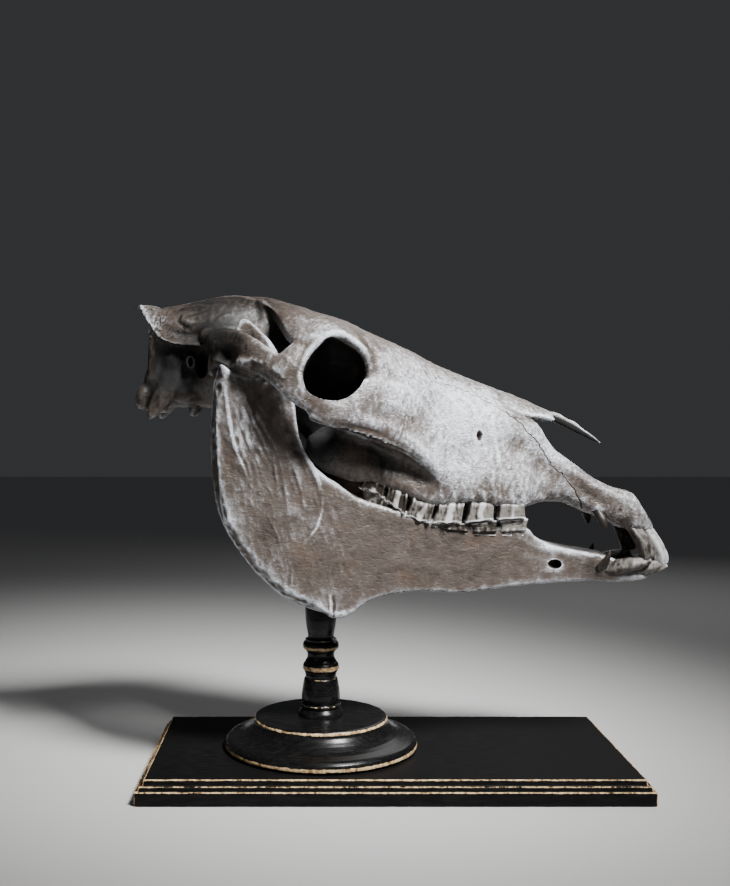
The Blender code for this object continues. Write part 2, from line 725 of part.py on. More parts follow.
def front_bite(above):
    """The space on one side of the surface where the front teeth meet, to cut the other away."""
    shift = -GAP / 2 if above else GAP / 2
    meeting = ((222, 214), (250, 213.6), (262, 208.5), (271, 203), (300, 196))
    line = [(x, z + shift) for x, z in meeting]
    far = 260 if above else 150
    return slab(line + [(300, far), (222, far)], 60)


def lower_jaw(parts, guides):
    """The lower jaw, both halves grown together at the front, with its teeth."""
    right = [jaw_side()] + jaw_head() + lower_front_teeth()
    forms = [lofted(JAW_FRONT, muzzle_ring, 28, 30)] + both_sides(right)
    jaw = fused(object_of("mandible", forms, parts))
    nerve_hole = cutter("chin_holes", both_sides([egg((161, -29, 206), (8, 10, 4.5))]), guides)
    cut(jaw, [nerve_hole])
    closed_half(thinned(largest_body(jaw), JAW_TRIANGLES))
    teeth = [cutter(f"lower_tooth_{i + 1}", [form], guides)
             for i, form in enumerate(lower_tooth_row())]
    cut(jaw, teeth, "UNION")
    cut(jaw, [cutter("lower_bite", [front_bite(above=True)], guides)])
    return made_whole(open_at_middle(largest_body(jaw)))


# ---- stand ---------------------------------------------------------------------------------

FOOT_PROFILE = ((0, FOOT_TOP), (61, FOOT_TOP), (65, FOOT_TOP - 1), (66.5, FOOT_TOP - 3), (69, 45),
                (75, 38.5), (83, 34.5), (89, 33), (92.5, 32), (95, 30), (95.7, 27.3), (95, 24.5),
                (92.5, PLINTH_TOP + GAP), (0, PLINTH_TOP + GAP))
POST_PROFILE = ((0, POST_TOP), (15.8, POST_TOP), (15.8, 155), (15.2, 146), (13.6, 137),
                (12.9, 131), (13.6, 128.4), (16.2, 127), (17.7, 124.5), (18, 122), (17.2, 119.2),
                (14.4, 116.8), (13.4, 112.5), (14.2, 108), (17.2, 104), (18, 101), (17.5, 97.6),
                (15.6, 94), (15.3, 91), (16.8, 89.6), (17.6, 85), (18.7, 77), (19.2, 67),
                (19.8, 65), (19.8, 62), (21.4, 58.5), (22.5, 54), (22.5, FOOT_TOP + GAP),
                (0, FOOT_TOP + GAP))


def turned(name, profile, steps, parts):
    """A turned solid from (radius, z) points, on the post's axis."""
    mesh = bpy.data.meshes.new(name)
    form = bmesh.new()
    verts = [form.verts.new(Vector((radius, 0, z)) * MM) for radius, z in profile]
    for one, other in zip(verts, verts[1:]):
        form.edges.new((one, other))
    form.to_mesh(mesh)
    form.free()
    thing = bpy.data.objects.new(name, mesh)
    thing.location.x = POST_X * MM
    parts.objects.link(thing)
    lathe = thing.modifiers.new("lathe", "SCREW")
    lathe.steps = lathe.render_steps = steps
    lathe.use_merge_vertices = True
    lathe.merge_threshold = 0.00001
    return thing


def pin(radius, low, high):
    """An upright round bar on the post's axis."""
    form = bmesh.new()
    middle = Matrix.Translation(Vector((POST_X, 0, (low + high) / 2)) * MM)
    bmesh.ops.create_cone(form, cap_ends=True, segments=16, radius1=radius * MM,
                          radius2=radius * MM, depth=(high - low) * MM, matrix=middle)
    return form


def plinth(parts):
    """The moulded board under the foot, in tiers that step in towards the top."""
    form = bmesh.new()
    bmesh.ops.create_cube(form, size=1.0)
    first = PLINTH_STEPS[0][1]
    size = Matrix.Diagonal((PLINTH_LENGTH * MM, PLINTH_DEPTH * MM, first * MM, 1.0))
    place = Matrix.Translation((0, 0, first / 2 * MM))
    bmesh.ops.transform(form, matrix=place @ size, verts=form.verts)
    for (inset, height), (next_inset, next_height) in zip(PLINTH_STEPS, PLINTH_STEPS[1:]):
        top = max(form.faces, key=lambda face: face.calc_center_median().z)
        bmesh.ops.inset_region(form, faces=[top], thickness=(next_inset - inset) * MM)
        grown = bmesh.ops.extrude_discrete_faces(form, faces=[top])["faces"][0]
        bmesh.ops.translate(form, vec=(0, 0, (next_height - height) * MM), verts=grown.verts)
    return object_of("stand_plinth", [form], parts)


def stand(parts):
    plinth(parts)
    turned("stand_foot", FOOT_PROFILE, 24, parts)
    turned("stand_post", POST_PROFILE, 14, parts)
    object_of("stand_rod", [pin(ROD_RADIUS, POST_TOP + GAP, ROD_TOP)], parts)


# ---- finish --------------------------------------------------------------------------------

BONE_COLOUR = (0.36, 0.32, 0.28)
FINISHES = {  # colour, roughness, metallic
    "stand_rod": ((0.25, 0.25, 0.25), 0.35, 1.0),
    "stand_post": ((0.016, 0.014, 0.013), 0.25, 0.0),
    "stand_foot": ((0.016, 0.014, 0.013), 0.25, 0.0),
    "stand_plinth": ((0.02, 0.018, 0.016), 0.45, 0.0),
}


def finish(thing):
    """Give an object its own material and smooth round faces."""
    colour, roughness, metallic = FINISHES.get(thing.name, (BONE_COLOUR, 0.55, 0.0))
    material = bpy.data.materials.new(thing.name)
    material.use_nodes = True
    shader = material.node_tree.nodes["Principled BSDF"]
    shader.inputs["Base Color"].default_value = (*colour, 1.0)
    shader.inputs["Roughness"].default_value = roughness
    shader.inputs["Metallic"].default_value = metallic
    thing.data.materials.clear()
    thing.data.materials.append(material)
    thing.data.shade_smooth()
    thing.data.set_sharp_from_angle(angle=math.radians(40))


def main():
    for thing in list(bpy.data.objects):
        discard(thing)
    parts = bpy.data.collections.new("horse_skull_on_stand")
    guides = bpy.data.collections.new("cutters")
    bpy.context.scene.collection.children.link(parts)
    bpy.context.scene.collection.children.link(guides)
    cranium_bones(parts, guides)
    lower_jaw(parts, guides)
    stand(parts)
    for thing in parts.objects:
        finish(thing)


main()
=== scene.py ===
"""Looks of a horse skull on its display stand: bones, teeth, stand, finishes, light and camera.

Places are in millimetres in the frame's axes and become metres where a mesh is made. The skull
is first modelled as two masses, cranium and lower jaw, from lofts, bars and eggs. Each mass is
melted into one skin, worked over with strokes like clay, and then parted into bones along its
seams.
"""

import itertools
import math

import bmesh
import bpy
import numpy as np
from mathutils import Matrix, Vector


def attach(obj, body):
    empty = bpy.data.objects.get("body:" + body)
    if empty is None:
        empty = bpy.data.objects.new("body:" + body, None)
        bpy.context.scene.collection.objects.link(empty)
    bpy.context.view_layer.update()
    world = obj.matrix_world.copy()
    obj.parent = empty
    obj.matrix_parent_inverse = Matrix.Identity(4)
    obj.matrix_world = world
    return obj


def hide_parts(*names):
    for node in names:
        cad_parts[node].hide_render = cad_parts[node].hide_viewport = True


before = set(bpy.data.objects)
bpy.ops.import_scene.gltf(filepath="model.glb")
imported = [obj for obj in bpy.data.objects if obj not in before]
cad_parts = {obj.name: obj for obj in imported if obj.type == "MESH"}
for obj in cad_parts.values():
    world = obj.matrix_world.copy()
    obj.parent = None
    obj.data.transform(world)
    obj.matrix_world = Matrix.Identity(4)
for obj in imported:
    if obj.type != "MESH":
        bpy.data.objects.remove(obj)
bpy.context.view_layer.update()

MM = 0.001
CRANIUM_VOXEL = 1.35
JAW_VOXEL = 1.5
PLATE_VOXEL = 1.0
JAW_PLATE_VOXEL = 2.2
PIECE_TRIANGLES = 190000  # the most that one piece may have
CLOSED_SEAM = 0.07  # width of the cut between bones that are grown together
NOSE_SEAM = 0.5  # widths of the two seams that show
FRONT_SEAM = 1.0
WELD = 1e-6

parts = bpy.data.collections.new("horse_skull")
tools = bpy.data.collections.new("shaping_tools")
bpy.context.scene.collection.children.link(parts)
bpy.context.scene.collection.children.link(tools)


# ---- curves and forms ----


def hermite(start, end, start_slope, end_slope, span, along):
    """A cubic from start to end over a span, with the given slopes, read at along."""
    t = along / span
    keep = 1 + t * t * (2 * t - 3)
    lead = start_slope * span * t * (1 - t) ** 2
    trail = end_slope * span * t * t * (t - 1)
    return start * keep + end * (1 - keep) + lead + trail


def flowing(keys, x):
    """Values at x, a number or an array, of a curve through (x, value) keys with no overshoot."""
    at, value = (np.array(column, float) for column in zip(*keys))
    rise = np.diff(value) / np.diff(at)
    slope = np.concatenate((rise[:1], np.zeros(len(at) - 2), rise[-1:]))
    same_way = rise[:-1] * rise[1:] > 0
    slope[1:-1][same_way] = 2 / (1 / rise[:-1][same_way] + 1 / rise[1:][same_way])
    x = np.clip(x, at[0], at[-1])
    i = np.clip(np.searchsorted(at, x, side="right") - 1, 0, len(at) - 2)
    return hermite(value[i], value[i + 1], slope[i], slope[i + 1], at[i + 1] - at[i], x - at[i])


def winding(points, t, closed=False):
    """The point at t (0 to 1) of a smooth curve through rows of coordinates and sizes."""
    rows = np.array(points, float)
    if closed:
        rows = np.vstack((rows[-1], rows, rows[:2]))
    steps = np.linalg.norm(np.diff(rows[:, :3], axis=0), axis=1)
    at = np.concatenate(([0.0], np.cumsum(steps)))
    slope = np.gradient(rows, at, axis=0)
    first, last = (at[1], at[-2]) if closed else (at[0], at[-1])
    x = first + (last - first) * t
    i = min(max(int(np.searchsorted(at, x, side="right")) - 1, 0), len(at) - 2)
    return hermite(rows[i], rows[i + 1], slope[i], slope[i + 1], at[i + 1] - at[i], x - at[i])


def soft_step(low, high, value):
    """0 below low, 1 above high and a smooth rise between them."""
    t = np.clip((value - low) / (high - low), 0, 1)
    return t * t * (3 - 2 * t)


def spaced(line, step, closed=False):
    """Points of a smooth curve through (x, z) points, a step apart."""
    rows = [(x, z, 0.0) for x, z in line]
    length = sum(math.dist(one, other) for one, other in zip(rows, rows[1:] + rows[:closed]))
    count = max(int(length / step), 2)
    return np.array([winding(rows, i / count, closed)[:2] for i in range(count + (not closed))])


def sideways(rows):
    """At each point of a flat line, a direction of length 1 across it."""
    ahead = np.gradient(rows, axis=0)
    across = np.stack((-ahead[:, 1], ahead[:, 0]), 1)
    return across / np.linalg.norm(across, axis=1)[:, None]


def distance_to(line, flat):
    """How far flat points are from a line, and how far along it (0 to 1) their nearest place is."""
    line = np.array(line, float)
    steps = np.linalg.norm(np.diff(line, axis=0), axis=1)
    before = np.concatenate(([0], np.cumsum(steps)))
    nearest = np.full(len(flat), np.inf)
    along = np.zeros(len(flat))
    for start, end, step, gone in zip(line, line[1:], steps, before):
        t = np.clip((flat - start) @ (end - start) / step ** 2, 0, 1)
        away = np.linalg.norm(flat - start - t[:, None] * (end - start), axis=1)
        closer = away < nearest
        nearest[closer] = away[closer]
        along[closer] = ((gone + t * step) / before[-1])[closer]
    return nearest, along


def skin(place, around, lengthwise, loop=False):
    """A closed form from a grid: place(u, v) gives a point, u goes round and v along."""
    form = bmesh.new()
    bmesh.ops.create_grid(form, x_segments=around, y_segments=lengthwise, size=0.5)
    for vert in form.verts:
        vert.co = Vector(place(vert.co.x + 0.5, vert.co.y + 0.5)) * MM
    bmesh.ops.remove_doubles(form, verts=form.verts, dist=WELD)
    if not loop:
        ends = [edge for edge in form.edges if edge.is_boundary]
        bmesh.ops.holes_fill(form, edges=ends, sides=0)
    bmesh.ops.recalc_face_normals(form, faces=form.faces)
    return form


def lofted(stations, ring, around, lengthwise):
    """A form through stations of named sizes; ring(sizes) gives the right half, top to bottom."""
    first, last = stations[0][0], stations[-1][0]
    columns = [[(row[0], row[i]) for row in stations] for i in range(1, len(stations[0]))]
    cache = {}

    def place(u, v):
        x = first + (last - first) * v
        if v not in cache:
            half = ring([float(flowing(column, x)) for column in columns])
            cache[v] = [(-y, z, 0) for y, z in half] + [(y, z, 0) for y, z in half[-2:0:-1]]
        y, z, _ = winding(cache[v], u % 1.0, closed=True)
        return x, y, z

    return skin(place, around, lengthwise)


def round_section(turn):
    """How far out a turn of a round section lies, across and up."""
    return math.cos(turn), math.sin(turn)


def bar(stations, around, lengthwise, up=(0, 0, 1), loop=False, section=round_section, step=0.004):
    """A bent bar through (x, y, z, half-width, half-height) rows, its height along up.

    The section gives how far out a turn lies, across and up; a step reads the bar's direction.
    """
    def place(u, v):
        here = winding(stations, v, loop)
        before = winding(stations, (v - step) % 1.0 if loop else max(v - step, 0), loop)
        after = winding(stations, (v + step) % 1.0 if loop else min(v + step, 1), loop)
        ahead = Vector((after - before)[:3]).normalized()
        side = ahead.cross(Vector(up)).normalized()
        across, rise = section(math.tau * u)
        return Vector(here[:3]) + side * across * here[3] + side.cross(ahead) * rise * here[4]

    return skin(place, around, lengthwise, loop)


def egg(centre, radii, tilt=0.0, turn=0.0):
    """An ellipsoid, tilted about Y and then turned about Z, in degrees."""
    form = bmesh.new()
    bmesh.ops.create_uvsphere(form, u_segments=24, v_segments=16, radius=1.0)
    size = Matrix.Diagonal(Vector(radii) * MM).to_4x4()
    pose = Matrix.Rotation(math.radians(turn), 4, "Z") @ Matrix.Rotation(math.radians(tilt), 4, "Y")
    place = Matrix.Translation(Vector(centre) * MM)
    bmesh.ops.transform(form, matrix=place @ pose @ size, verts=form.verts)
    return form


def slab(outline, low, high):
    """A flat plate of an (x, z) outline, from low to high across Y."""
    form = bmesh.new()
    face = form.faces.new([form.verts.new(Vector((x, low, z)) * MM) for x, z in outline])
    grown = bmesh.ops.extrude_face_region(form, geom=[face])["geom"]
    moved = [item for item in grown if isinstance(item, bmesh.types.BMVert)]
    bmesh.ops.translate(form, vec=(0, (high - low) * MM, 0), verts=moved)
    bmesh.ops.recalc_face_normals(form, faces=form.faces)
    return form


def mirrored(form):
    """The same form on the other side of Y = 0."""
    other = form.copy()
    bmesh.ops.scale(other, vec=(1, -1, 1), verts=other.verts)
    bmesh.ops.reverse_faces(other, faces=other.faces)
    return other


def both_sides(forms):
    """The forms, each followed by itself on the other side."""
    return [item for form in forms for item in (form, mirrored(form))]


# ---- objects ----


def object_of(name, forms, collection):
    """One object that holds all of the forms."""
    mesh = bpy.data.meshes.new(name)
    whole = bmesh.new()
    for form in forms:
        form.to_mesh(mesh)
        form.free()
        whole.from_mesh(mesh)
        mesh.clear_geometry()
    whole.to_mesh(mesh)
    whole.free()
    thing = bpy.data.objects.new(name, mesh)
    collection.objects.link(thing)
    return thing


def form_of(thing):
    """An object's form; the object itself is removed."""
    form = bmesh.new()
    form.from_mesh(thing.data)
    bpy.data.objects.remove(thing)
    return form


def settle(thing):
    """Make an object's modifiers part of its mesh."""
    bpy.context.view_layer.update()
    shaped = thing.evaluated_get(bpy.context.evaluated_depsgraph_get())
    mesh = bpy.data.meshes.new_from_object(shaped)
    thing.modifiers.clear()
    thing.data = mesh
    return thing


def rounded(thing, levels):
    """Round an object's facets."""
    rounder = thing.modifiers.new("rounder", "SUBSURF")
    rounder.levels = rounder.render_levels = levels
    rounder.use_limit_surface = False
    return settle(thing)


def melted(thing, voxel, smoothing):
    """Melt an object's forms into one skin, and smooth it a number of times."""
    melt = thing.modifiers.new("melt", "REMESH")
    melt.mode = "VOXEL"
    melt.voxel_size = voxel * MM
    soften = thing.modifiers.new("soften", "SMOOTH")
    soften.factor = 0.5
    soften.iterations = smoothing
    return settle(thing)


def tool(name, forms):
    """A shaping tool, out of sight."""
    thing = object_of(name, forms, tools)
    thing.hide_render = True
    thing.display_type = "WIRE"
    return thing


def cut(thing, cutters, operation="DIFFERENCE"):
    """Take tools out of a mass, or with UNION add them to it, one after another."""
    for cutter in cutters:
        step = thing.modifiers.new(cutter.name, "BOOLEAN")
        step.operation = operation
        step.object = cutter
        step.solver = "MANIFOLD"
        settle(thing)
        bpy.data.objects.remove(cutter)
    return thing


# ---- clay ----


CELL_PRIMES = np.array((73856093, 19349663, 83492791))
MIXERS = (15, 2246822519), (13, 3266489917)
WORD = 0xFFFFFFFF


def grain(points, size, seed=0):
    """Smooth noise from -1 to 1 over points, with lumps of about this size in millimetres."""
    cell = points / size + 31.7 * (seed + 1)
    corner_of = np.floor(cell).astype(np.int64)
    t = cell - corner_of
    t = t * t * (3 - 2 * t)
    total = np.zeros(len(points))
    for corner in itertools.product((0, 1), repeat=3):
        key = (corner_of + corner) @ CELL_PRIMES
        for shift, factor in MIXERS:
            key = (key ^ (key >> shift)) * factor & WORD
        total += (key / (WORD // 2) - 1) * np.prod(np.where(corner, t, 1 - t), axis=1)
    return total


def layered(points, size, layers, seed=0):
    """Noise with finer and finer layers, each half as strong as the one before."""
    return sum(grain(points, size / 2 ** i, seed + i) / 2 ** i for i in range(layers))


class Clay:
    """A mass's skin as points and normals in millimetres, for strokes and dabs to push about."""

    def __init__(self, thing):
        self.mesh = thing.data
        self.count = len(self.mesh.vertices)
        self.points = self.read(self.mesh.vertices, "co") / MM
        self.normals = self.read(self.mesh.vertex_normals, "vector")
        self.edges = self.read(self.mesh.edges, "vertices", 2, np.int32)
        self.degree = np.bincount(self.edges.ravel(), minlength=self.count)

    @staticmethod
    def read(items, name, width=3, kind=np.float32):
        """A property of mesh items, as rows of numbers."""
        values = np.empty(len(items) * width, kind)
        items.foreach_get(name, values)
        return values.reshape(-1, width)

    def settle(self):
        """Write the points back and read the new normals."""
        self.mesh.vertices.foreach_set("co", (self.points * MM).astype(np.float32).ravel())
        self.mesh.update()
        self.normals = self.read(self.mesh.vertex_normals, "vector")

    def averaged(self, values, rounds):
        """Columns of values, averaged with their neighbours' a number of times."""
        one, other = self.edges.T
        for _ in range(rounds):
            total = [np.bincount(one, column[other], self.count)
                     + np.bincount(other, column[one], self.count) for column in values.T]
            values = 0.4 * values + 0.6 * np.stack(total, axis=1) / self.degree[:, None]
        return values

    def push(self, amount):
        """Move every point along its normal."""
        self.points = self.points + self.normals * np.asarray(amount)[:, None]

    def facing(self, view):
        """How far each point faces up, for the top view, or away from the middle plane."""
        outwards = self.normals[:, 1] * np.sign(self.points[:, 1])
        return soft_step(0.05, 0.45, self.normals[:, 2] if view == "top" else outwards)

    def stroke(self, line, width, height, near=40, far=120, taper=1.0, view="side"):
        """Raise a ridge along a line, or sink a groove with a negative height.

        The line holds (x, z) points in side view, or (x, |y|) from the top. Only points between
        the near and far half-widths feel it. Returns how strongly each point felt it.
        """
        half = np.abs(self.points[:, 1])
        flat = np.column_stack((self.points[:, 0], half if view == "top" else self.points[:, 2]))
        low = np.min(line, axis=0) - 3 * width
        high = np.max(line, axis=0) + 3 * width
        close = np.all((flat > low) & (flat < high), axis=1) & (half > near) & (half < far)
        nearest, along = distance_to(line, flat[close])
        strength = np.exp(-(nearest / width) ** 2) * np.sin(np.pi * np.clip(along, 0.02, 0.98)) ** taper
        felt = np.zeros(self.count)
        felt[close] = strength * self.facing(view)[close]
        self.push(felt * height)
        return felt

    def note(self, name, values):
        """Keep a value for each point, which the finish reads."""
        store = self.mesh.attributes.new(name, "FLOAT", "POINT")
        store.data.foreach_set("value", np.asarray(values, np.float32))

    def dab(self, centre, radius, height, stretch=(1, 1, 1)):
        """Raise or sink a soft spot on both sides of the skull."""
        away = self.points.copy()
        away[:, 1] = np.abs(away[:, 1])
        away = (away - np.array(centre)) / np.array(stretch)
        self.push(height * np.exp(-np.sum(away ** 2, axis=1) / radius ** 2))


# ---- cranium ----

# Rear of the cranium. Columns: x, crown z, roof half-width and z, waist half-width and z, cheek
# half-width and z, lower edge half-width and z, floor z on the middle plane.
BRAINCASE = (
    (-236, 455, 22, 450, 30, 438, 32, 408, 26, 376, 368),
    (-222, 458, 24, 453, 36, 438, 36, 404, 30, 368, 360),
    (-205, 461, 24, 456, 42, 438, 38, 404, 31, 367, 360),
    (-190, 464, 22, 459, 46, 440, 41, 405, 32, 366, 361),
    (-160, 469, 24, 464, 50, 444, 52, 410, 30, 362, 357),
    (-130, 470, 30, 463, 48, 440, 51, 410, 27, 355, 349),
    (-104, 465, 44, 453, 42, 434, 40, 404, 25, 345, 339),
    (-72, 454, 62, 440, 42, 420, 36, 385, 32, 326, 324),
    (-42, 443, 66, 428, 46, 408, 40, 376, 46, 304, 312),
)

# From the orbits to the nostril. Columns: x, crown z, roof half-width and z, then half-width and
# z of the side, the crest, the part under it and the gum edge, palate z on the middle plane.
FACE = (
    (-80, 457, 60, 445, 38, 420, 36, 385, 34, 360, 32, 332, 326),
    (-42, 444, 70, 430, 50, 408, 44, 378, 44, 350, 46, 304, 312),
    (-22, 435, 68, 421, 64, 394, 66, 350, 58, 332, 56, 290, 304),
    (-14, 431, 64, 418, 78, 386, 84, 334, 68, 326, 59, 284, 299),
    (0, 425.5, 57, 413, 73, 376, 81, 327, 67, 318, 60, 279, 295),
    (15, 419, 50, 408, 67, 364, 77, 319, 65, 310, 60, 274, 291),
    (30, 411.5, 45, 400, 62, 354, 72, 309, 63, 300, 60, 268, 287),
    (42, 405, 42, 392, 58, 346, 67, 299, 62, 290, 60, 265, 284),
    (52, 400.5, 40, 387, 55, 341, 62, 296, 61, 284, 59, 265, 282),
    (75, 391, 37, 376, 50, 334, 58, 293, 58, 280, 56, 268, 277),
    (106, 378, 33, 361, 45, 326, 51, 290, 50.5, 277, 49, 264, 269),
    (126, 364, 30, 351, 40, 321, 45, 289, 45, 276, 43, 262, 265),
    (142, 351, 26, 345, 32, 316, 34, 290, 34, 277, 31, 265, 267),
    (149, 342, 24, 337, 29, 311, 30, 290, 30, 278, 28, 267, 268),
    (160, 322, 19, 318, 25, 304, 26, 290, 25, 279, 23, 269, 269),
)

MUZZLE = (  # x, top z, half-width, bottom z
    (122, 350, 41, 263), (138, 347, 34, 262), (147, 341.5, 29, 265), (156, 329.5, 26, 266),
    (163, 320, 25.5, 266), (172, 312.5, 25.5, 266), (187, 301, 26, 260), (206, 288, 28, 252),
    (218, 282, 31, 247), (228, 279, 33, 243), (235, 277.3, 34, 238.5), (241, 275, 33.5, 237),
    (245, 267.5, 32.5, 236.5), (252, 257, 29.5, 237), (258, 248, 24, 238.5), (262, 243, 17, 240),
)


def braincase_ring(sizes):
    """Right half of a section through the braincase, crown to floor."""
    crown, roof, roof_z, waist, waist_z, cheek, cheek_z, low, low_z, floor_z = sizes
    return ((0, crown), (roof * 0.55, crown - (crown - roof_z) * 0.3), (roof, roof_z),
            (waist, waist_z), ((waist + cheek) / 2 + 1, (waist_z + cheek_z) / 2), (cheek, cheek_z),
            ((cheek + low) / 2 + 3, (cheek_z + low_z) / 2 - 3), (low, low_z + 3),
            (low * 0.8, low_z - 2), (low * 0.5, (low_z + floor_z * 2) / 3 - 2), (0, floor_z))


def face_ring(sizes):
    """Right half of a section through the face, crown to palate."""
    crown, roof, roof_z, side, side_z, crest, crest_z, under, under_z, low, low_z, floor_z = sizes
    return ((0, crown), (roof * 0.5, crown - (crown - roof_z) * 0.22), (roof, roof_z),
            ((roof + side * 2) / 3 + 2, (roof_z + side_z) / 2), (side, side_z),
            ((side + crest) / 2 - 0.5, (side_z + crest_z) / 2), (crest, crest_z),
            (under, under_z), (low + 1, (under_z + low_z) / 2), (low, low_z + 3),
            (low - 6, low_z - 1), (low - 18, low_z + 2), (low * 0.4, floor_z - 3), (0, floor_z))


def muzzle_ring(sizes):
    """Right half of a section through the incisive bones, top to bottom."""
    top, half, bottom = sizes
    height = top - bottom
    return ((0, top - 0.02 * height), (half * 0.6, top), (half * 0.93, top - 0.12 * height),
            (half, top - 0.5 * height), (half * 0.97, bottom + 0.14 * height),
            (half * 0.7, bottom), (0, bottom + 0.08 * height))


def brow():
    """The broad plate of the forehead, out to the upper rims of the orbits."""
    stations = (
        (-128, 470, 34, 462), (-112, 467, 52, 450), (-100, 463, 80, 430), (-90, 460, 97, 417),
        (-80, 457, 102, 416), (-70, 453, 101, 422), (-56, 449, 95, 426), (-44, 445, 89, 424),
        (-32, 440, 84, 415), (-20, 434, 78, 404), (0, 425, 64, 404))

    def ring(sizes):
        crown, edge, edge_z = sizes
        drop = crown - edge_z
        return ((0, crown), (edge * 0.45, crown - drop * 0.12), (edge * 0.8, crown - drop * 0.5),
                (edge * 0.96, edge_z + 4), (edge, edge_z - 2), (edge * 0.95, edge_z - 7),
                (edge * 0.7, crown - drop * 0.62 - 11), (edge * 0.4, crown - drop * 0.3 - 14),
                (0, crown - 22))

    return lofted(stations, ring, 40, 28)


def orbit_rim():
    """The rim of the right orbit, through x, y, z, half-breadth and half-depth."""
    return bar((
        (-41, -84, 421.5, 4, 5), (-27, -77, 410, 4, 6), (-21.5, -71, 396, 4.5, 7),
        (-22.5, -71, 380, 5, 7), (-31, -77, 369, 5, 7), (-44, -84, 362, 5, 6), (-58, -90, 360, 5, 6),
        (-71, -94, 363, 5, 6), (-83, -97, 372, 5, 7), (-87.5, -99, 386, 4.5, 7),
        (-84.5, -98, 399, 4.5, 7), (-76.5, -96, 411, 4, 6), (-65, -93, 421.5, 4, 5),
        (-53, -89, 426.5, 4, 4.5)), 12, 48, up=(0, -1, 0), loop=True)


def eye_bar():
    """The bridge behind the right orbit, from the brow down to the cheek bar."""
    return bar(((-74, -88, 420, 4, 6), (-87, -95, 410, 6, 10), (-97, -100, 397, 7, 13),
                (-106, -102, 386, 6, 15)), 12, 12, up=(1, 0, 0))


def cheek_arch():
    """The right cheek bar, from the ear region forward into the crest of the face."""
    return bar((
        (-178, -38, 424, 8, 10), (-170, -50, 419, 11, 16), (-160, -61, 416, 12, 19),
        (-147, -73, 412, 10, 20), (-132, -87, 406, 7, 18), (-116, -96, 398, 6, 14),
        (-100, -100, 387, 6, 15), (-86, -98, 374, 6, 15), (-68, -94, 361, 6, 12),
        (-48, -89, 353, 6, 11), (-24, -83, 345, 6, 9), (0, -76, 336, 5, 7), (20, -70, 325, 5, 6),
        (34, -66, 312, 4, 5), (44, -62, 301, 3, 3)), 14, 48)


def cheek_wall():
    """The flat of the cheek between the orbit and the facial crest."""
    return bar((
        (-78, -94, 355, 6, 9), (-60, -91, 352, 7, 12), (-40, -85, 355, 8, 17), (-20, -78, 362, 8, 26),
        (2, -70, 357, 7, 27), (22, -62, 348, 5, 22), (40, -54, 340, 3, 12)), 14, 24)


def jaw_joint_root():
    """The knuckle under the rear of the cheek bar, with the jaw's socket and a stop behind it."""
    return [egg((-128, -82, 397), (20, 14, 9), 14, 22), egg((-170, -58, 399), (5, 9, 12)),
            egg((-154, -68, 402), (16, 14, 9)), egg((-158, -46, 428), (26, 14, 12), -4, 18)]


def tooth_tuber():
    """The swelling of the upper jaw behind the last cheek tooth."""
    return bar((
        (-70, -42, 336, 9, 12), (-66, -44, 329, 13, 21), (-56, -47, 323, 14, 27),
        (-44, -50, 319, 14, 29), (-30, -51, 317, 14, 30), (-8, -50, 313, 14, 28)), 16, 16)


def blade(rows, thick, edge):
    """A thin bent plate, right side: rows hold an inner and an outer (x, y, z) point."""
    at = np.linspace(0, 1, len(rows))
    columns = [list(zip(at, column)) for column in np.array(rows, float).reshape(-1, 6).T]

    def ends(t):
        row = [float(flowing(column, t)) for column in columns]
        return Vector(row[:3]), Vector(row[3:])

    def place(u, v):
        inner, outer = ends(v)
        ahead = ends(min(v + 0.02, 1))[1] - ends(max(v - 0.02, 0))[1]
        width = outer - inner
        face = ahead.cross(width).normalized()
        across, rise = round_section(math.tau * u)
        half = (thick * (1 - across) + edge * (1 + across)) / 4
        return (inner + outer) / 2 + width * across / 2 + face * rise * half

    return skin(place, 20, 8 * len(rows))


def nape_crest():
    """The sharp shelf over the nape, from the middle plane down to the ear."""
    return blade((
        ((-226, 0, 457), (-253, 0, 459)), ((-224, -10, 456), (-247, -14, 460)),
        ((-216, -20, 452), (-240, -27, 449)), ((-208, -28, 446), (-231, -36, 435)),
        ((-200, -34, 438), (-221, -44, 424)), ((-192, -38, 431), (-205, -50, 418.5)),
        ((-184, -42, 428), (-190, -54, 417)), ((-176, -46, 426), (-177, -57, 416.5))), 7.0, 2.4)


def cheek_crest():
    """The sharp lower edge of the cheek, from the bar to the end of the facial crest."""
    return blade((
        ((-104, -98, 392), (-101, -100, 376)), ((-84, -96, 382), (-88, -99, 358.5)),
        ((-58, -92, 362), (-63, -95, 343.5)), ((-34, -86, 356), (-40, -89, 335.5)),
        ((-6, -77, 346), (-10, -82, 325.5)), ((20, -69, 334), (14, -75, 315.5)),
        ((40, -62, 316), (31, -69, 303.5)), ((52, -58, 304), (43, -64, 292))), 5.0, 1.6)


def nape_condyle():
    """The rounded joint beside the great hole of the nape."""
    return [egg((-237, -24, 371), (9, 12, 15), 24, -16), egg((-229, -18, 362), (13, 11, 8), 10),
            egg((-228, -22, 386), (11, 15, 13))]


def ear_region():
    """The swollen bone round the ear canal, and the broad hanging process behind it."""
    hanging = bar((
        (-206, -33, 398, 7, 13), (-212, -35, 383, 7, 13), (-220, -36, 369, 6, 11),
        (-227, -36, 357, 4.5, 7), (-232, -36, 347, 2.5, 3.5)), 12, 16, up=(1, 0, 0))
    return [egg((-207, -33, 406), (12, 10, 18), 20), egg((-192, -36, 401), (8, 8, 10)),
            egg((-197, -27, 373), (16, 10, 11)), egg((-224, -26, 378), (13, 10, 16)), hanging]


def ear_canal_lip():
    """The short bony tube of the ear."""
    return bar(((-191.5, -34, 402, 6.6, 9), (-191.5, -47, 402.5, 5.6, 8)), 16, 4)


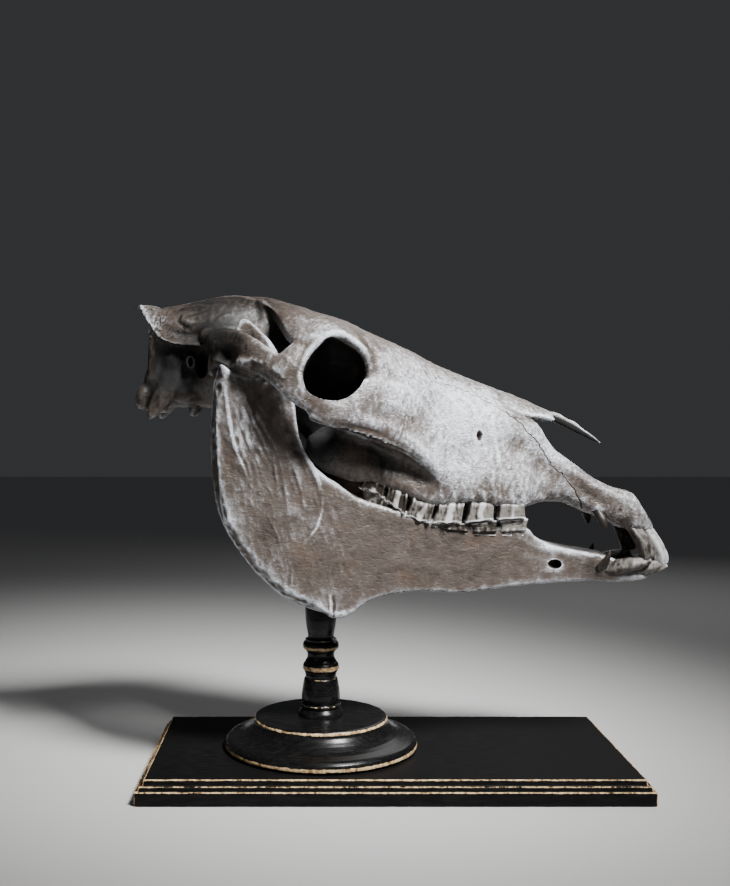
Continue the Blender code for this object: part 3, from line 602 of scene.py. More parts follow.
def wing_plate():
    """The thin wing beside the opening of the throat, and the palate's rear wall in front of it."""
    return bar(((-104, -22, 344, 3.5, 10), (-82, -24, 326, 3.5, 22), (-60, -28, 306, 4.5, 30),
                (-36, -31, 296, 4.5, 28), (-8, -33, 292, 4.5, 22)), 12, 16)


def base_hook():
    """The small knob that hangs from the base of the braincase."""
    return bar((
        (-188, -9, 366, 8, 7), (-192, -9, 357, 7, 5), (-194, -9, 350.5, 4, 3.5)), 12, 8, up=(1, 0, 0))


def nasal_roof():
    """The two nasal bones, before their tips break off."""
    stations = (
        (84, 387, 33, 372), (110, 378, 31, 359), (134, 369, 29, 351), (150, 361.5, 25, 349.8),
        (166, 354, 20, 346.5), (182, 345, 16, 339.5), (196, 336.5, 11, 331), (206, 330, 8, 325.5),
        (213, 324.5, 4, 321))

    def ring(sizes):
        crown, edge, edge_z = sizes
        drop = crown - edge_z
        deep = min(5.2, 1.2 + edge * 0.35)
        return ((0, crown), (edge * 0.5, crown - drop * 0.28), (edge * 0.85, crown - drop * 0.7),
                (edge, edge_z), (edge * 0.85, edge_z - deep * 0.35),
                (edge * 0.45, crown - drop * 0.5 - deep * 0.8), (0, crown - drop * 0.3 - deep))

    return lofted(stations, ring, 24, 28)


def cranium_bulk():
    """The forms that melt together with broad, soft joins."""
    right = [orbit_rim(), eye_bar(), cheek_arch(), cheek_wall(), tooth_tuber()]
    right += jaw_joint_root() + nape_condyle() + ear_region()
    return [lofted(BRAINCASE, braincase_ring, 44, 48), lofted(FACE, face_ring, 52, 56),
            lofted(MUZZLE, muzzle_ring, 28, 36), brow()] + both_sides(right)


def cranium_plates():
    """The thin forms, which keep their edges."""
    thin = [nape_crest(), cheek_crest(), wing_plate(), ear_canal_lip(), base_hook()]
    return [nasal_roof()] + both_sides(thin)


def hollows():
    """The openings of the cranium that a person would see into."""
    nostril = bar((
        (104, 0, 314, 24, 22), (138, 0, 314, 20, 28), (150, 0, 312, 18, 32), (164, 0, 305, 17.5, 28),
        (190, 0, 294, 17, 22), (214, 0, 288, 14, 12)), 24, 24)
    throat = bar((
        (-84, 0, 322, 15, 14), (-60, 0, 316, 18, 18), (-34, 0, 300, 20, 14)), 20, 12)
    spine = bar(((-262, 0, 388, 15, 13), (-226, 0, 390, 14, 12)), 20, 6)
    ear = bar(((-191.5, -66, 402.5, 2.8, 5), (-191, -30, 402, 2.4, 4)), 16, 4)
    ear_pit = egg((-180, -56, 399), (7.5, 26, 15), 6)
    crest_hole = bar(((-180.5, -66, 419.5, 2.2, 1.8), (-179, -40, 419, 1.6, 1.6)), 10, 3)
    cheek_hole = bar(((81, -44, 329, 2.4, 4), (86, -50, 333, 3.2, 5), (93, -58, 338, 2.8, 4)), 16, 8)
    return [tool("nostril", [nostril]), tool("throat", [throat]), tool("spine", [spine]),
            tool("orbits", both_sides([orbit_hollow()])),
            tool("pits", both_sides([ear_pit, crest_hole, cheek_hole])),
            tool("ears", both_sides([ear]))]


ORBIT_EDGE = (
    (-57.7, 422.8), (-73.2, 408.1), (-83.2, 388.2), (-80.5, 374.6), (-67.8, 366.5), (-44.9, 366.2),
    (-30.8, 377), (-25.1, 392), (-29.8, 407.5), (-42.9, 417.3))


def orbit_hollow():
    """The right eye socket: its opening, which widens and deepens inwards."""
    edge = [(x, z, 0.0) for x, z in ORBIT_EDGE]
    middle = np.mean(edge, axis=0)
    width = ((-125, 1.0), (-70, 1.0), (-58, 1.06), (-44, 1.08), (-30, 0.9), (-18, 0.3))

    def place(u, v):
        x, z, _ = winding(edge, u % 1.0, closed=True)
        depth = width[0][0] + (width[-1][0] - width[0][0]) * v
        size = float(flowing(width, depth))
        return middle[0] + (x - middle[0]) * size, depth, middle[1] + (z - middle[1]) * size

    return skin(place, 48, 24)


def cranium():
    """The cranium's mass: the bulk with soft joins, the sharper plates on it, and the hollows."""
    bulk = melted(rounded(object_of("bulk", cranium_bulk(), parts), 2), CRANIUM_VOXEL * 1.3, 9)
    plates = melted(rounded(object_of("plates", cranium_plates(), parts), 2), PLATE_VOXEL, 1)
    mass = object_of("cranium", [form_of(bulk), form_of(plates)], parts)
    return cut(melted(mass, CRANIUM_VOXEL, 2), hollows())


# ---- lower jaw ----

JAW_LOWER = (
    (232, 192), (197, 189.5), (157, 187.5), (118, 186), (94, 183.5), (65, 181.5), (42, 183), (16, 183),
    (-8, 179.5), (-26, 173), (-38, 164), (-50, 160), (-72, 167), (-99, 178), (-124, 200), (-146, 227),
    (-160, 252), (-168, 290), (-170, 335), (-168, 370), (-165, 390), (-161, 399))

JAW_UPPER = (
    (-154, 395), (-145, 389), (-132, 386), (-118, 388), (-108, 386), (-98, 376), (-91, 361),
    (-89.5, 345), (-87, 331), (-82, 318), (-75, 306), (-64, 295), (-50, 286), (-36, 276), (2, 262.5),
    (27, 255.5), (54, 249.5), (72, 246.5), (107, 245), (128, 244), (136, 241), (141, 235), (150, 229),
    (167, 223), (187, 219), (206, 216), (222, 211))

JAW_OUTER = (  # x and how far out the outer face lies
    (-172, 76), (-130, 73), (-90, 71), (-50, 66), (-20, 61), (20, 56), (70, 48), (118, 38), (150, 29),
    (170, 25.5), (200, 26), (222, 30))
JAW_THICKNESS = (  # x and thickness
    (-172, 15), (-150, 11), (-110, 9), (-72, 12), (-40, 19), (0, 24), (100, 22), (130, 21), (150, 24),
    (170, 28))
JAW_FRONT = (  # x, top z, half-width, bottom z
    (140, 231, 31, 189), (152, 226, 28.5, 188), (168, 222, 25.5, 188.5), (188, 218.5, 25, 189.5),
    (206, 216, 27, 190), (218, 211, 30, 189), (228, 206, 32, 189), (238, 202, 31.5, 189),
    (246, 200, 29, 190), (254, 200, 24, 192.5), (260, 200.5, 17, 195), (264, 200.5, 9, 197))

JAW_RIM = JAW_LOWER[11:20] + ((-163, 394),)  # from the angle's front up the ramus

RIM_INSET = 7.5  # how far the rim slants away inwards
SLAB_REACH = 10.0
OUTLINE_STEP = 3.0


def jaw_side():
    """The right half of the lower jaw: a rounded plate bent to its place and thickness.

    Along its rear and lower rim the outer face ends in an edge, and the rim slants away inwards.
    """
    outline = spaced(JAW_LOWER + JAW_UPPER, OUTLINE_STEP, closed=True)
    plate = object_of("jaw_plate", [slab(outline, -SLAB_REACH, SLAB_REACH)], tools)
    form = form_of(melted(plate, JAW_PLATE_VOXEL, 3))
    places = np.array([vert.co for vert in form.verts]) / MM
    x, y, z = places.T
    flare = 7 * soft_step(290, 380, z) * soft_step(60, 120, -x)
    outer = flowing(JAW_OUTER, x) + flare
    from_rim, along = distance_to(JAW_RIM, places[:, [0, 2]])
    inset = RIM_INSET * soft_step(0, 0.12, along) + 1.2 * grain(places, 7) * soft_step(0, 0.1, along)
    slant = np.clip(1 - from_rim / np.maximum(inset, 0.5), 0, 1) * 0.75
    share = (y + SLAB_REACH) / (2 * SLAB_REACH)
    share = slant + (1 - slant) * share
    across = -(outer - flowing(JAW_THICKNESS, x) * share) * MM
    for vert, place in zip(form.verts, across):
        vert.co.y = place
    return form


def jaw_head():
    """The joint head at the top of the ramus, right side."""
    return bar(((-152, -60, 384, 8, 6), (-152, -70, 387, 8, 6), (-153, -78, 388, 6, 5)), 14, 10)


def jaw_blade():
    """The thin blade of the jaw that rises inside the cheek bar, right side."""
    outline = (
        (-146, 428), (-142.5, 439), (-140, 442), (-136.5, 441), (-124, 431), (-112, 417.5), (-103, 403),
        (-95, 385), (-91, 362), (-104, 352), (-118, 366), (-126, 386), (-133, 405), (-141, 418))
    return slab(spaced(outline, OUTLINE_STEP, closed=True), -71.2, -68.2)


def lower_jaw():
    """The lower jaw's mass, both halves grown together at the chin."""
    forms = both_sides([jaw_side(), jaw_blade(), jaw_head()])
    forms.insert(0, lofted(JAW_FRONT, muzzle_ring, 28, 30))
    jaw = melted(object_of("bone_mandible", forms, parts), JAW_VOXEL, 4)
    chin_hole = bar((
        (158, -42, 208, 6.5, 4.6), (161, -29, 206.6, 6.5, 4.8), (172, -12, 205, 3, 3)), 20, 10)
    return cut(jaw, [tool("chin_holes", both_sides([chin_hole]))])


# ---- teeth ----

# Where the cheek teeth part along X, then lines of (x, z) points.
TOOTH_EDGES = (-29, -2.5, 20.5, 46, 75, 103, 133)
GUM_LINE = ((-34, 288), (-9, 284), (15, 276), (31, 268), (63, 266), (82, 266.5), (101, 265), (134, 264))
BITE_LINE = (
    (-34, 284), (-12, 277), (7, 265), (23, 255), (37, 250), (54, 248.5), (75, 248.5), (100, 251),
    (134, 252))
SOCKET_LINE = (
    (-34, 273), (-16, 267), (2, 261), (27, 254), (54, 247), (72, 244.5), (107, 242), (136, 241))
# The dark values of the rear upper cheek teeth are painted shade.
TOOTH_STAINS_AND_SHADE = {  # paler above 0, darker below
    "upper_incisor_1": 0.4, "upper_incisor_2": 0.4, "upper_incisor_3": -0.35, "upper_canine": -0.7,
    "lower_incisor_2": -0.15, "lower_incisor_3": -0.3, "lower_canine": -0.5,
    "upper_cheek_tooth_1": -0.5, "upper_cheek_tooth_2": -0.4, "upper_cheek_tooth_3": -0.15,
    "lower_cheek_tooth_4": -0.4, "lower_cheek_tooth_5": -0.3, "lower_cheek_tooth_6": 0.1}
# x and how far out the row of upper cheek teeth lies
ROW_HALF_WIDTH = ((-34, 56), (0, 60), (45, 59), (80, 55), (110, 48), (134, 41))


def squared(value, power=0.4):
    """A sine or cosine, pressed outwards, so that a round section turns squarish."""
    return math.copysign(abs(value) ** power, value)


CHEEK_RIDGES = (  # of each upper tooth: where its ridges lie, its flutes' depth and its lean
    ((-0.85, 0.1, 0.8), 3.6, 0.15), ((-0.95, -0.1, 0.75), 3.2, 0.24),
    ((-0.95, 0.05, 0.85), 2.9, 0.28), ((-0.97, 0.0, 0.9), 2.4, 0.28),
    ((-0.97, -0.1, 0.92), 2.0, 0.16), ((-0.95, -0.15, 0.8), 1.2, 0.04))


def fluted_tooth(start, end, outer, width, root, crown, lean, ridges, flute, wobble):
    """A cheek tooth: a square block whose outer face has upright ridges with flutes between.

    Root and crown say how high its two ends lie, outer how far out its face lies and width how
    far in it reaches. The ridges lie between -1 and 1 along it, and wobble bends them.
    """
    middle, reach = (start + end) / 2, (end - start) / 2 - 0.4

    def place(u, v):
        a, b = squared(math.cos(math.tau * u)), squared(math.sin(math.tau * u))
        x = middle + a * reach * (1 - 0.10 * math.sin(math.pi * v))
        low, high = float(flowing(crown, x)), float(flowing(root, x))
        bow = 0.10 * math.sin(math.pi * v + wobble) + 0.05 * wobble
        spread = 0.13 + 0.12 * (1.6 * v - 0.9) ** 2
        ridge = max(math.exp(-((a - at - bow) / spread) ** 2) for at in ridges)
        waist = 0.9 * math.sin(math.pi * min(max((v - 0.36) / 0.64, 0), 1)) * ridge
        bulge = 0.5 - waist - 3.0 * float(soft_step(0.40, 0.15, v))
        wall = float(flowing(outer, x)) - (flute * (1 - ridge) - bulge if b > 0.2 else 0)
        cusp = (0.75 * ridge - 0.35) * flute * v ** 4 * (1 if b > 0 else 0.3)
        z = high + (low - cusp * (1 if low < high else -1) - high) * v
        return x + lean * (z - high), -(wall - width * (1 - b) / 2), z

    return skin(place, 96, 14)


def cheek_teeth():
    """Both rows of cheek teeth on the right: pairs of a name and a form."""
    roots = [(x, z + 9) for x, z in GUM_LINE]
    sockets = [(x, z - 7) for x, z in SOCKET_LINE]
    lower_bite = [(x, z - 0.6) for x, z in BITE_LINE]
    lower_outer = [(x, half - 5.0) for x, half in ROW_HALF_WIDTH]
    for i, (start, end) in enumerate(zip(TOOTH_EDGES, TOOTH_EDGES[1:])):
        ridges, flute, lean = CHEEK_RIDGES[i]
        yield f"upper_cheek_tooth_{i + 1}", fluted_tooth(
            start, end, ROW_HALF_WIDTH, 21, roots, BITE_LINE, lean, ridges, flute, 0.7 * (-1) ** i)
        yield f"lower_cheek_tooth_{i + 1}", fluted_tooth(
            start + 1.5, end + 1.5, lower_outer, 14, sockets, lower_bite, 0.05, (-0.65, 0.6), 1.0, 0.4)


def front_tooth(stations, up, flute, square=0.5):
    """A front tooth: a bent squarish bar with a shallow groove down its outer face."""
    def section(turn):
        across, rise = squared(math.cos(turn), square), squared(math.sin(turn), square)
        groove = flute * 0.35 * math.exp(-((across + 0.1) / 0.25) ** 2)
        return across, rise - groove * (rise > 0)

    return bar(stations, 48, 28, up, section=section, step=0.02)


def front_teeth():
    """The front teeth on the right: pairs of a name and a form."""
    yield "upper_incisor_1", front_tooth(
        ((245, -7, 258, 6.5, 3.5), (253, -7.3, 245, 7.6, 4.2), (261, -7.6, 234, 8.0, 5.2),
         (269.4, -7.8, 219.5, 8.2, 5.4), (273.4, -7.8, 209.5, 7.9, 4.7), (274.2, -7.6, 205, 7.2, 3.0)),
        (1, -0.1, 0.4), 0.12)
    yield "upper_incisor_2", front_tooth(
        ((240, -14, 256, 6.0, 3.5), (248, -17, 245, 7.2, 4.2), (256, -20.5, 234, 7.8, 5.2),
         (263.6, -22.2, 220, 8.0, 5.4), (266.4, -21.6, 211, 7.6, 4.7), (267, -20.8, 207, 6.8, 3.0)),
        (0.8, -0.55, 0.3), 0.12)
    yield "upper_incisor_3", front_tooth(
        ((233, -21, 252, 5.5, 3.5), (238.5, -24.5, 243, 6.4, 4.2), (243.8, -28.6, 234, 7.0, 5.2),
         (249, -31.0, 223, 7.2, 5.4), (251.2, -31.0, 215.5, 6.9, 4.7), (251.8, -30.4, 212.3, 6.2, 3.0)),
        (0.4, -0.9, 0.1), 0.12)
    yield "lower_incisor_1", front_tooth(
        ((228, -7, 192, 6.6, 4.5), (247, -7.4, 195.6, 7.6, 5.4), (262, -7.6, 199.4, 8.0, 4.8),
         (271, -7.5, 202.0, 7.6, 3.4), (276.0, -7.3, 203.6, 6.8, 1.8)), (0.2, 0, -1), 0.05)
    yield "lower_incisor_2", front_tooth(
        ((222, -17, 195.5, 6.6, 5.2), (240, -20.6, 199.0, 7.6, 6.0), (254.5, -22.0, 202.4, 7.8, 5.4),
         (263.5, -21.2, 204.8, 7.2, 3.8), (268.0, -20.0, 206.0, 6.2, 2.0)), (0.2, -0.4, -1), 0.05)
    yield "lower_incisor_3", front_tooth(
        ((208, -21, 200.5, 5.2, 5.0), (223, -26.8, 203.4, 6.6, 6.8), (236, -29.6, 205.8, 7.2, 6.4),
         (247, -29.8, 207.8, 6.6, 4.6), (254.0, -28.8, 209.2, 5.6, 2.4)), (0.1, -0.6, -1), 0.05)
    yield "upper_canine", front_tooth(
        ((201.5, -18, 265, 3.6, 3.8), (205.0, -25.5, 256, 4.2, 4.8), (207.8, -30, 248.5, 3.6, 4.2),
         (209.4, -31.6, 243, 2.0, 2.4), (210.0, -32, 240, 0.5, 0.6)), (1, 0, 0), 0, 1.0)
    yield "lower_canine", front_tooth(
        ((203.5, -22, 198, 3.8, 4.6), (208.0, -28.2, 205.5, 3.8, 4.4), (211.6, -31.0, 212, 2.8, 3.2),
         (213.6, -31.8, 217, 1.6, 1.8), (214.4, -32, 220.2, 0.4, 0.5)), (1, 0, 0), 0, 1.0)


def teeth():
    """All teeth on both sides, as pieces of their own, each with the bone that it grows from."""
    for number, (name, form) in enumerate(itertools.chain(cheek_teeth(), front_teeth())):
        home = "mandible" if name.startswith("lower") else "incisive"
        if name.startswith("upper_cheek"):
            home = "maxilla_{}"
        for side, shape in (("right", form), ("left", mirrored(form))):
            tooth = object_of(f"{name}_{side}", [shape], parts)
            clay = Clay(rounded(tooth, 1))
            striped = along_grain(clay.points, (1, 0) if name.startswith("lower_cheek") else (0, 1), 5)
            depth = 0.22 if "cheek" in name else 0.10
            clay.push(depth * (layered(clay.points, 5, 2, number) + layered(striped, 2.4, 2, number)))
            clay.settle()
            marked(clay)
            # Tone of each tooth, with painted shade on the rear upper cheek teeth.
            clay.note("pale", np.full(clay.count, TOOTH_STAINS_AND_SHADE.get(name, 0)))
            yield tooth, home.format(side)


# ---- working over the masses ----

CREST_EDGE = (
    (-95, 368), (-88, 358), (-63, 343.5), (-40, 335.5), (-10, 325.5), (14, 315.5), (31, 303.5),
    (43, 292))
JAW_EDGE = (
    (-163, 392), (-163.3, 371), (-163.3, 328), (-161, 291), (-160, 268.6), (-154, 240.7), (-139, 216.6),
    (-124, 199.8), (-104, 183), (-81.5, 173.8), (-55.5, 164.5), (-44, 166.4))
RAMUS_FOOT = ((-64.5, 274), (-65.7, 261), (-70.4, 246), (-83.4, 229.6))
MUSCLE_FAN = (  # the ridges that the chewing muscle left on the jaw, top to bottom
    ((-132.6, 328), (-127, 313), (-120.5, 294.6), (-112, 279)),
    ((-128, 341), (-119, 322), (-109.5, 302), (-107.5, 283)),
    ((-141, 324), (-134.5, 306), (-130, 283.5), (-126, 274)),
    ((-111, 318), (-108.5, 298), (-106.6, 286), (-105, 276)),
    ((-124, 298), (-119, 287), (-113, 280), (-110, 272)),
    ((-144, 352), (-138, 335), (-131, 318), (-127, 305)),
    ((-136, 362), (-128, 344), (-121, 330), (-116, 320)),
    ((-126, 352), (-118, 336), (-110, 322), (-104, 308)),
    ((-104, 300), (-100, 285), (-98, 270), (-95, 258)),
    ((-94, 306), (-88, 292), (-84, 278), (-82, 264)),
    ((-118, 262), (-112, 250), (-106, 238), (-103, 226)),
    ((-96.5, 216.5), (-93, 205.5), (-94.5, 189), (-92, 180)))


def vein_noise(points, size, seed):
    """Thin winding lines, near 1 on the lines and 0 between them."""
    warped = points + size * 0.5 * np.stack([grain(points, size * 1.3, seed + i) for i in range(3)], 1)
    return np.clip(1 - 5 * np.abs(grain(warped, size, seed + 5)), 0, 1) ** 1.5


def along_grain(points, direction, stretch):
    """Points squeezed along a direction in side view, so that noise on them runs that way."""
    axis = np.array((direction[0], 0, direction[1])) / math.hypot(*direction)
    along = points @ axis
    return points - np.outer(along * (1 - 1 / stretch), axis)


def worked_cranium(mass):
    """Crests, hollows, veins and pits of the cranium."""
    clay = Clay(mass)
    clay.stroke([(x + 2, z - 9) for x, z in CREST_EDGE], 7, -3.0, taper=0.5)
    clay.stroke([(x, z - 17) for x, z in CREST_EDGE[2:]], 10, -3.0, taper=0.5)
    clay.settle()
    clay.stroke(CREST_EDGE, 1.6, 0.8, 50, 120, taper=0.4)
    # crown, brow and braincase
    clay.stroke(((-236, 0), (-180, 2), (-150, 12), (-126, 32), (-110, 56)),
                3, 2.0, 0, 200, taper=0.3, view="top")
    clay.stroke(((-152, 452), (-134, 446), (-120, 452), (-106, 462)), 10, -2.6, 20, 90)
    clay.stroke(((-201, 449), (-204, 442.5), (-197, 436), (-192, 434.5)), 1.8, -1.4, 20, 90, taper=0.4)
    clay.stroke(((-196, 447), (-187, 449), (-174, 453)), 1.6, -1.0, 20, 90, taper=0.4)
    clay.stroke(((-198, 445), (-192, 440), (-186, 442)), 2.0, 1.0, 20, 90)
    clay.stroke(((-184, 429), (-172, 430), (-155, 433), (-140, 432), (-125, 423), (-110, 412)),
                2.0, -0.9, 30, 120)
    clay.stroke(((-168, 440), (-160, 446), (-148, 449)), 2.0, 0.7, 30, 90)
    clay.dab((-156, 76, 405), 8.5, -6.0, (1.1, 1.6, 0.85))
    clay.stroke(((-162, 402), (-154, 398), (-146, 390)), 1.5, 1.6, 60, 110, taper=0.5)
    clay.stroke(((-142, 399), (-130, 402), (-118, 398)), 2.6, 1.2, 60, 120)
    clay.stroke(((-141, 391), (-134, 386.5), (-119, 386)), 1.8, 1.0, 60, 120)
    # face
    clay.dab((34, 62, 352), 16, -1.6)
    clay.dab((64, 56, 345), 20, 1.4)
    clay.dab((122, 40, 322), 15, -3.6)
    clay.dab((146, 30, 304), 11, -1.6)
    clay.dab((-4, 74, 360), 12, 1.2)
    clay.stroke(((56, 376), (78, 362), (86, 346), (84, 336)), 2.4, 0.9, 30, 90)
    clay.stroke(((98, 352), (100, 332), (104, 305), (112, 285)), 2.6, 0.8, 30, 90)
    clay.stroke(((4.5, 324), (10, 339), (12, 354)), 1.2, -0.5, 40, 100)
    clay.stroke(((-12, 402), (4, 384), (10, 372)), 4, -0.9, 40, 100)
    # muzzle
    clay.stroke(((148, 344), (160, 326), (185, 304), (215, 284), (238, 274)), 3.0, 1.4, 8, 60, taper=0.4)
    clay.stroke(((170, 296), (192, 276), (214, 262)), 7, -1.6, 12, 60)
    clay.stroke(((229, 278), (236, 276.5), (242, 275)), 2.0, 2.6, 2, 16, taper=0.5)
    clay.dab((203, 28, 259), 6, 1.5)
    clay.dab((186, 28, 276.7), 1.6, -1.2)
    clay.dab((224, 33, 259), 1.5, -1.2)
    clay.dab((229, 33, 247), 6, -1.0)
    clay.settle()
    # roots of the cheek teeth
    for start, end in zip(TOOTH_EDGES, TOOTH_EDGES[1:]):
        height = 0.25 + 0.4 * (start > 40)
        for share in (0.08, 0.5, 0.9):
            x_root = start + (end - start) * share
            gum = float(flowing(GUM_LINE, x_root))
            clay.stroke(((x_root - 2, gum + 15), (x_root, gum + 0.5)), 2.6, height, 30, 90, taper=0.6)
    clay.settle()
    face = soft_step(-60, 20, clay.points[:, 0])
    grained = along_grain(clay.points, (1, -1.4), 3.0)
    veins = 0.16 * vein_noise(grained, 7, 11) + 0.13 * vein_noise(clay.points, 4.5, 23)
    veins = veins * (0.7 + 0.5 * face)
    worms = 0.24 * layered(along_grain(clay.points, (0.3, 1.0), 2.0), 3.4, 2, 91)
    swell = layered(clay.points, 42, 2, 3) * (0.6 - 0.3 * face) + layered(clay.points, 11, 3, 7) * 0.24
    clay.push(swell + veins + worms)
    clay.settle()
    nape = soft_step(-205, -225, clay.points[:, 0]) * soft_step(415, 430, clay.points[:, 2])
    pits = np.clip(np.abs(grain(clay.points, 2.6, 41)) * 2 - 0.55, 0, 1)
    rough = np.clip(vein_noise(clay.points, 2.6, 51) - 0.5, 0, 1)
    gums = np.exp(-((clay.points[:, 2] - flowing(GUM_LINE, clay.points[:, 0]) - 6) / 7) ** 2)
    gums = gums * soft_step(-40, -20, clay.points[:, 0]) * soft_step(142, 132, clay.points[:, 0])
    clay.push((-0.8 * pits * nape + 0.5 * rough * gums) * clay.facing("side"))
    clay.settle()
    return clay


def worked_jaw(mass):
    """Muscle marks, crests, veins and rough edges of the lower jaw."""
    clay = Clay(mass)
    clay.stroke(((-128, 372), (-122, 335), (-112, 295), (-98, 258)), 24, -2.4, 30, 120, taper=0.6)
    clay.stroke(((-116, 368), (-104, 340), (-92, 318)), 9, -2.6, taper=0.4)
    clay.dab((-126, 72, 368), 10, -1.6)
    clay.stroke(((-160, 382), (-159, 341), (-154, 313), (-146, 290)), 5.0, -1.6, taper=0.4)
    clay.settle()
    clay.stroke(((-155, 378), (-154.6, 370), (-151, 341), (-145.6, 319), (-138, 302), (-132.6, 287),
                 (-130.8, 276)), 1.3, 0.7, taper=0.4)
    clay.stroke(((-100, 350), (-91, 322), (-82, 300), (-72, 275)), 5, -1.6)
    clay.stroke(((-90, 352), (-83.5, 324), (-76, 306), (-68.5, 287), (-64.4, 272)), 2.6, 1.5)
    clay.stroke(RAMUS_FOOT, 1.3, 0.5, taper=0.8)
    clay.settle()
    for line in MUSCLE_FAN:
        clay.stroke(line, 1.2, 0.24, taper=0.7)
        clay.stroke([(x - 2.4, z) for x, z in line], 1.3, -0.20, taper=0.7)
    clay.stroke(((-55.5, 181), (-54, 174), (-54.6, 162)), 1.2, -1.6, taper=0.3)
    clay.stroke(((-58, 182), (-57, 174), (-58, 166)), 1.2, 0.8, taper=0.4)
    clay.stroke(((120, 236), (150, 222), (190, 214)), 4, 0.8, 15, 60)
    clay.dab((207, 27, 203), 6, 1.2)
    clay.settle()
    ramus = soft_step(0, -60, clay.points[:, 0])
    grained = along_grain(clay.points, (0.35, -1.0), 4.0)
    veins = 0.14 * vein_noise(grained, 5, 61) * ramus + 0.06 * vein_noise(clay.points, 4, 71)
    wrinkles = (0.36 * grain(grained, 4.2, 63) + 0.26 * grain(grained, 2.3, 67)) * (0.1 + 0.9 * ramus)
    swell = layered(clay.points, 42, 2, 31) * 0.5 + layered(clay.points, 11, 3, 35) * 0.24
    patch = np.exp(-np.sum(((clay.points[:, [0, 2]] - (-138, 325)) / (17, 38)) ** 2, axis=1))
    coarse = np.clip(grain(along_grain(clay.points, (0.3, -1.0), 2.2), 3.4, 65) * 1.6, -1, 1)
    clay.push(swell + veins + wrinkles * (0.5 + 0.5 * grain(clay.points, 14, 69)) + 0.5 * coarse * patch)
    rim = distance_to(JAW_RIM, clay.points[:, [0, 2]])[0]
    rough = grain(clay.points, 5, 77) * np.exp(-((rim - 3) / 5) ** 2)
    clay.settle()
    clay.push(0.8 * rough)
    clay.settle()
    bead = clay.stroke(JAW_EDGE, 1.3, 0.4, taper=0.2)
    clay.push(0.5 * bead * grain(clay.points, 4, 83))
    clay.settle()
    return clay


def marked(clay):
    """Note how ridged or hollow each point is, for the finish: fine relief and broad relief."""
    fine = clay.averaged(clay.points, 4)
    broad = clay.averaged(fine, 22)
    for name, base, reach in (("fine_relief", fine, 0.22), ("broad_relief", broad, 1.1)):
        rise = np.sum((clay.points - base) * clay.normals, axis=1) / reach
        clay.note(name, np.clip(rise, -1, 1))


# ---- seams between the bones ----

BROW_FRONT = ((-46, 401), (-14, 401), (34, 393), (38, 392.3))
NOSE_LINE = (
    (31.5, 395), (34.5, 390.5), (38, 385.5), (58, 381), (70, 376.5), (84, 369.5), (95, 364),
    (109, 356.5), (122, 349.6), (134, 346.6), (144, 345.6), (152, 343.8), (162, 341))
FRONT_LINE = (
    (113, 356), (116, 352.5), (121, 347.8), (127, 343), (137, 332), (147, 321), (156, 308), (163, 299),
    (170, 293), (176, 286), (182, 277), (188, 264), (190, 240))
SEAMS = {  # line in side view, nearest and farthest half-width; below zero means both sides at once
    "nape": (((-226, 480), (-221, 440), (-211, 405), (-206, 372), (-206, 330)), -1, 130),
    "brow": (((-130, 490), (-120, 445), (-104, 423), (-70, 404)) + BROW_FRONT, -1, 76),
    "brow_side": (((-66, 403.5),) + BROW_FRONT, 75.6, 130),
    "eye_bar": (((-118, 420), (-98, 399), (-74, 384)), 70, 130),
    "nose_root": (((31.5, 383), (42.5, 428)), -1, 130),
    "tear_front": (((36.5, 398), (21, 366), (5, 346.5)), 35.6, 130),
    "tear_lower": (((-56, 374), (-20, 374), (12, 348)), 35.6, 130),
    "tear_rear": (((-49.8, 405), (-49.8, 371)), 35.6, 130),
    "cheek_front": (((9, 358), (5, 334), (1.2, 307)), 59.6, 130),
    "cheek_lower": (((-60, 334), (-22, 325), (7, 311)), 59.6, 130),
    "palate_rear": (((-88, 255), (-82, 326), (-74, 345), (-33, 348), (-33, 378)), -1, 60.6),
    "palate_upper": (((-33, 370), (-33, 405)), -1, 36.6)}
WALLS = {  # upright sheets along the skull: outline in side view and half-width
    "arch_root": (((-218, 362), (-110, 362), (-110, 442), (-218, 442)), 58),
    "tear_inner": (((-53, 404), (-14, 403.5), (37.5, 396), (23, 365), (10.5, 345), (-21, 371.5),
                    (-53, 371.5)), 36),
    "cheek_inner": (((-60, 376), (-19, 376), (13, 352), (11, 347), (4.5, 307), (-23, 322),
                     (-60, 331)), 60)}
MIDDLE = (  # outline of the sheet that parts the right half from the left
    (300, 470), (41, 470), (40, 428), (31.2, 396), (-14, 403.3), (-35, 403.3), (-35, 350),
    (-75.5, 347.2), (-84, 326), (-90.3, 255), (-90.3, 200), (192.5, 200), (192.5, 240), (190.4, 265),
    (184.4, 278.5), (178, 287.6), (171.8, 295), (164.6, 301), (157.8, 309.6), (148.8, 322.4),
    (138.6, 333.6), (130.5, 342), (138, 343.7), (144, 343.3), (152, 341.4), (162, 338.5), (230, 305),
    (300, 300))
BROKEN_TIP = (  # outline of what is broken off the nasal bones
    (168, 380), (156, 364), (160, 356), (163.2, 352), (162.4, 349.5), (164.2, 346.9), (158, 344.9),
    (153, 341), (150, 330), (240, 300), (240, 380))
LONG_TIP = (  # x, y, z, half-thickness and half-height of the blade that reaches over the nostril
    (146, 5, 358.5, 2.4, 3.5), (160, 5, 352.5, 2.4, 4.4), (172, 5, 348.5, 2.3, 4.8),
    (180, 5, 344.2, 2.1, 4.2), (186, 4.8, 341.3, 2.0, 4.6), (196, 4.4, 335.2, 1.6, 3.0),
    (205, 4, 329.8, 1.2, 2.2), (214, 3.6, 324, 0.5, 0.7))
BONES = {  # a point in each bone of the right half
    "occipital": (-236, -36, 440), "braincase": (-160, -48, 440), "frontal": (-40, -40, 440),
    "lacrimal_right": (0, -68, 380), "zygomatic_arch_right": (-60, -98, 346),
    "maxilla_right": (80, -52, 320), "nasal_right": (110, -14, 377), "incisive": (232, -32, 262)}


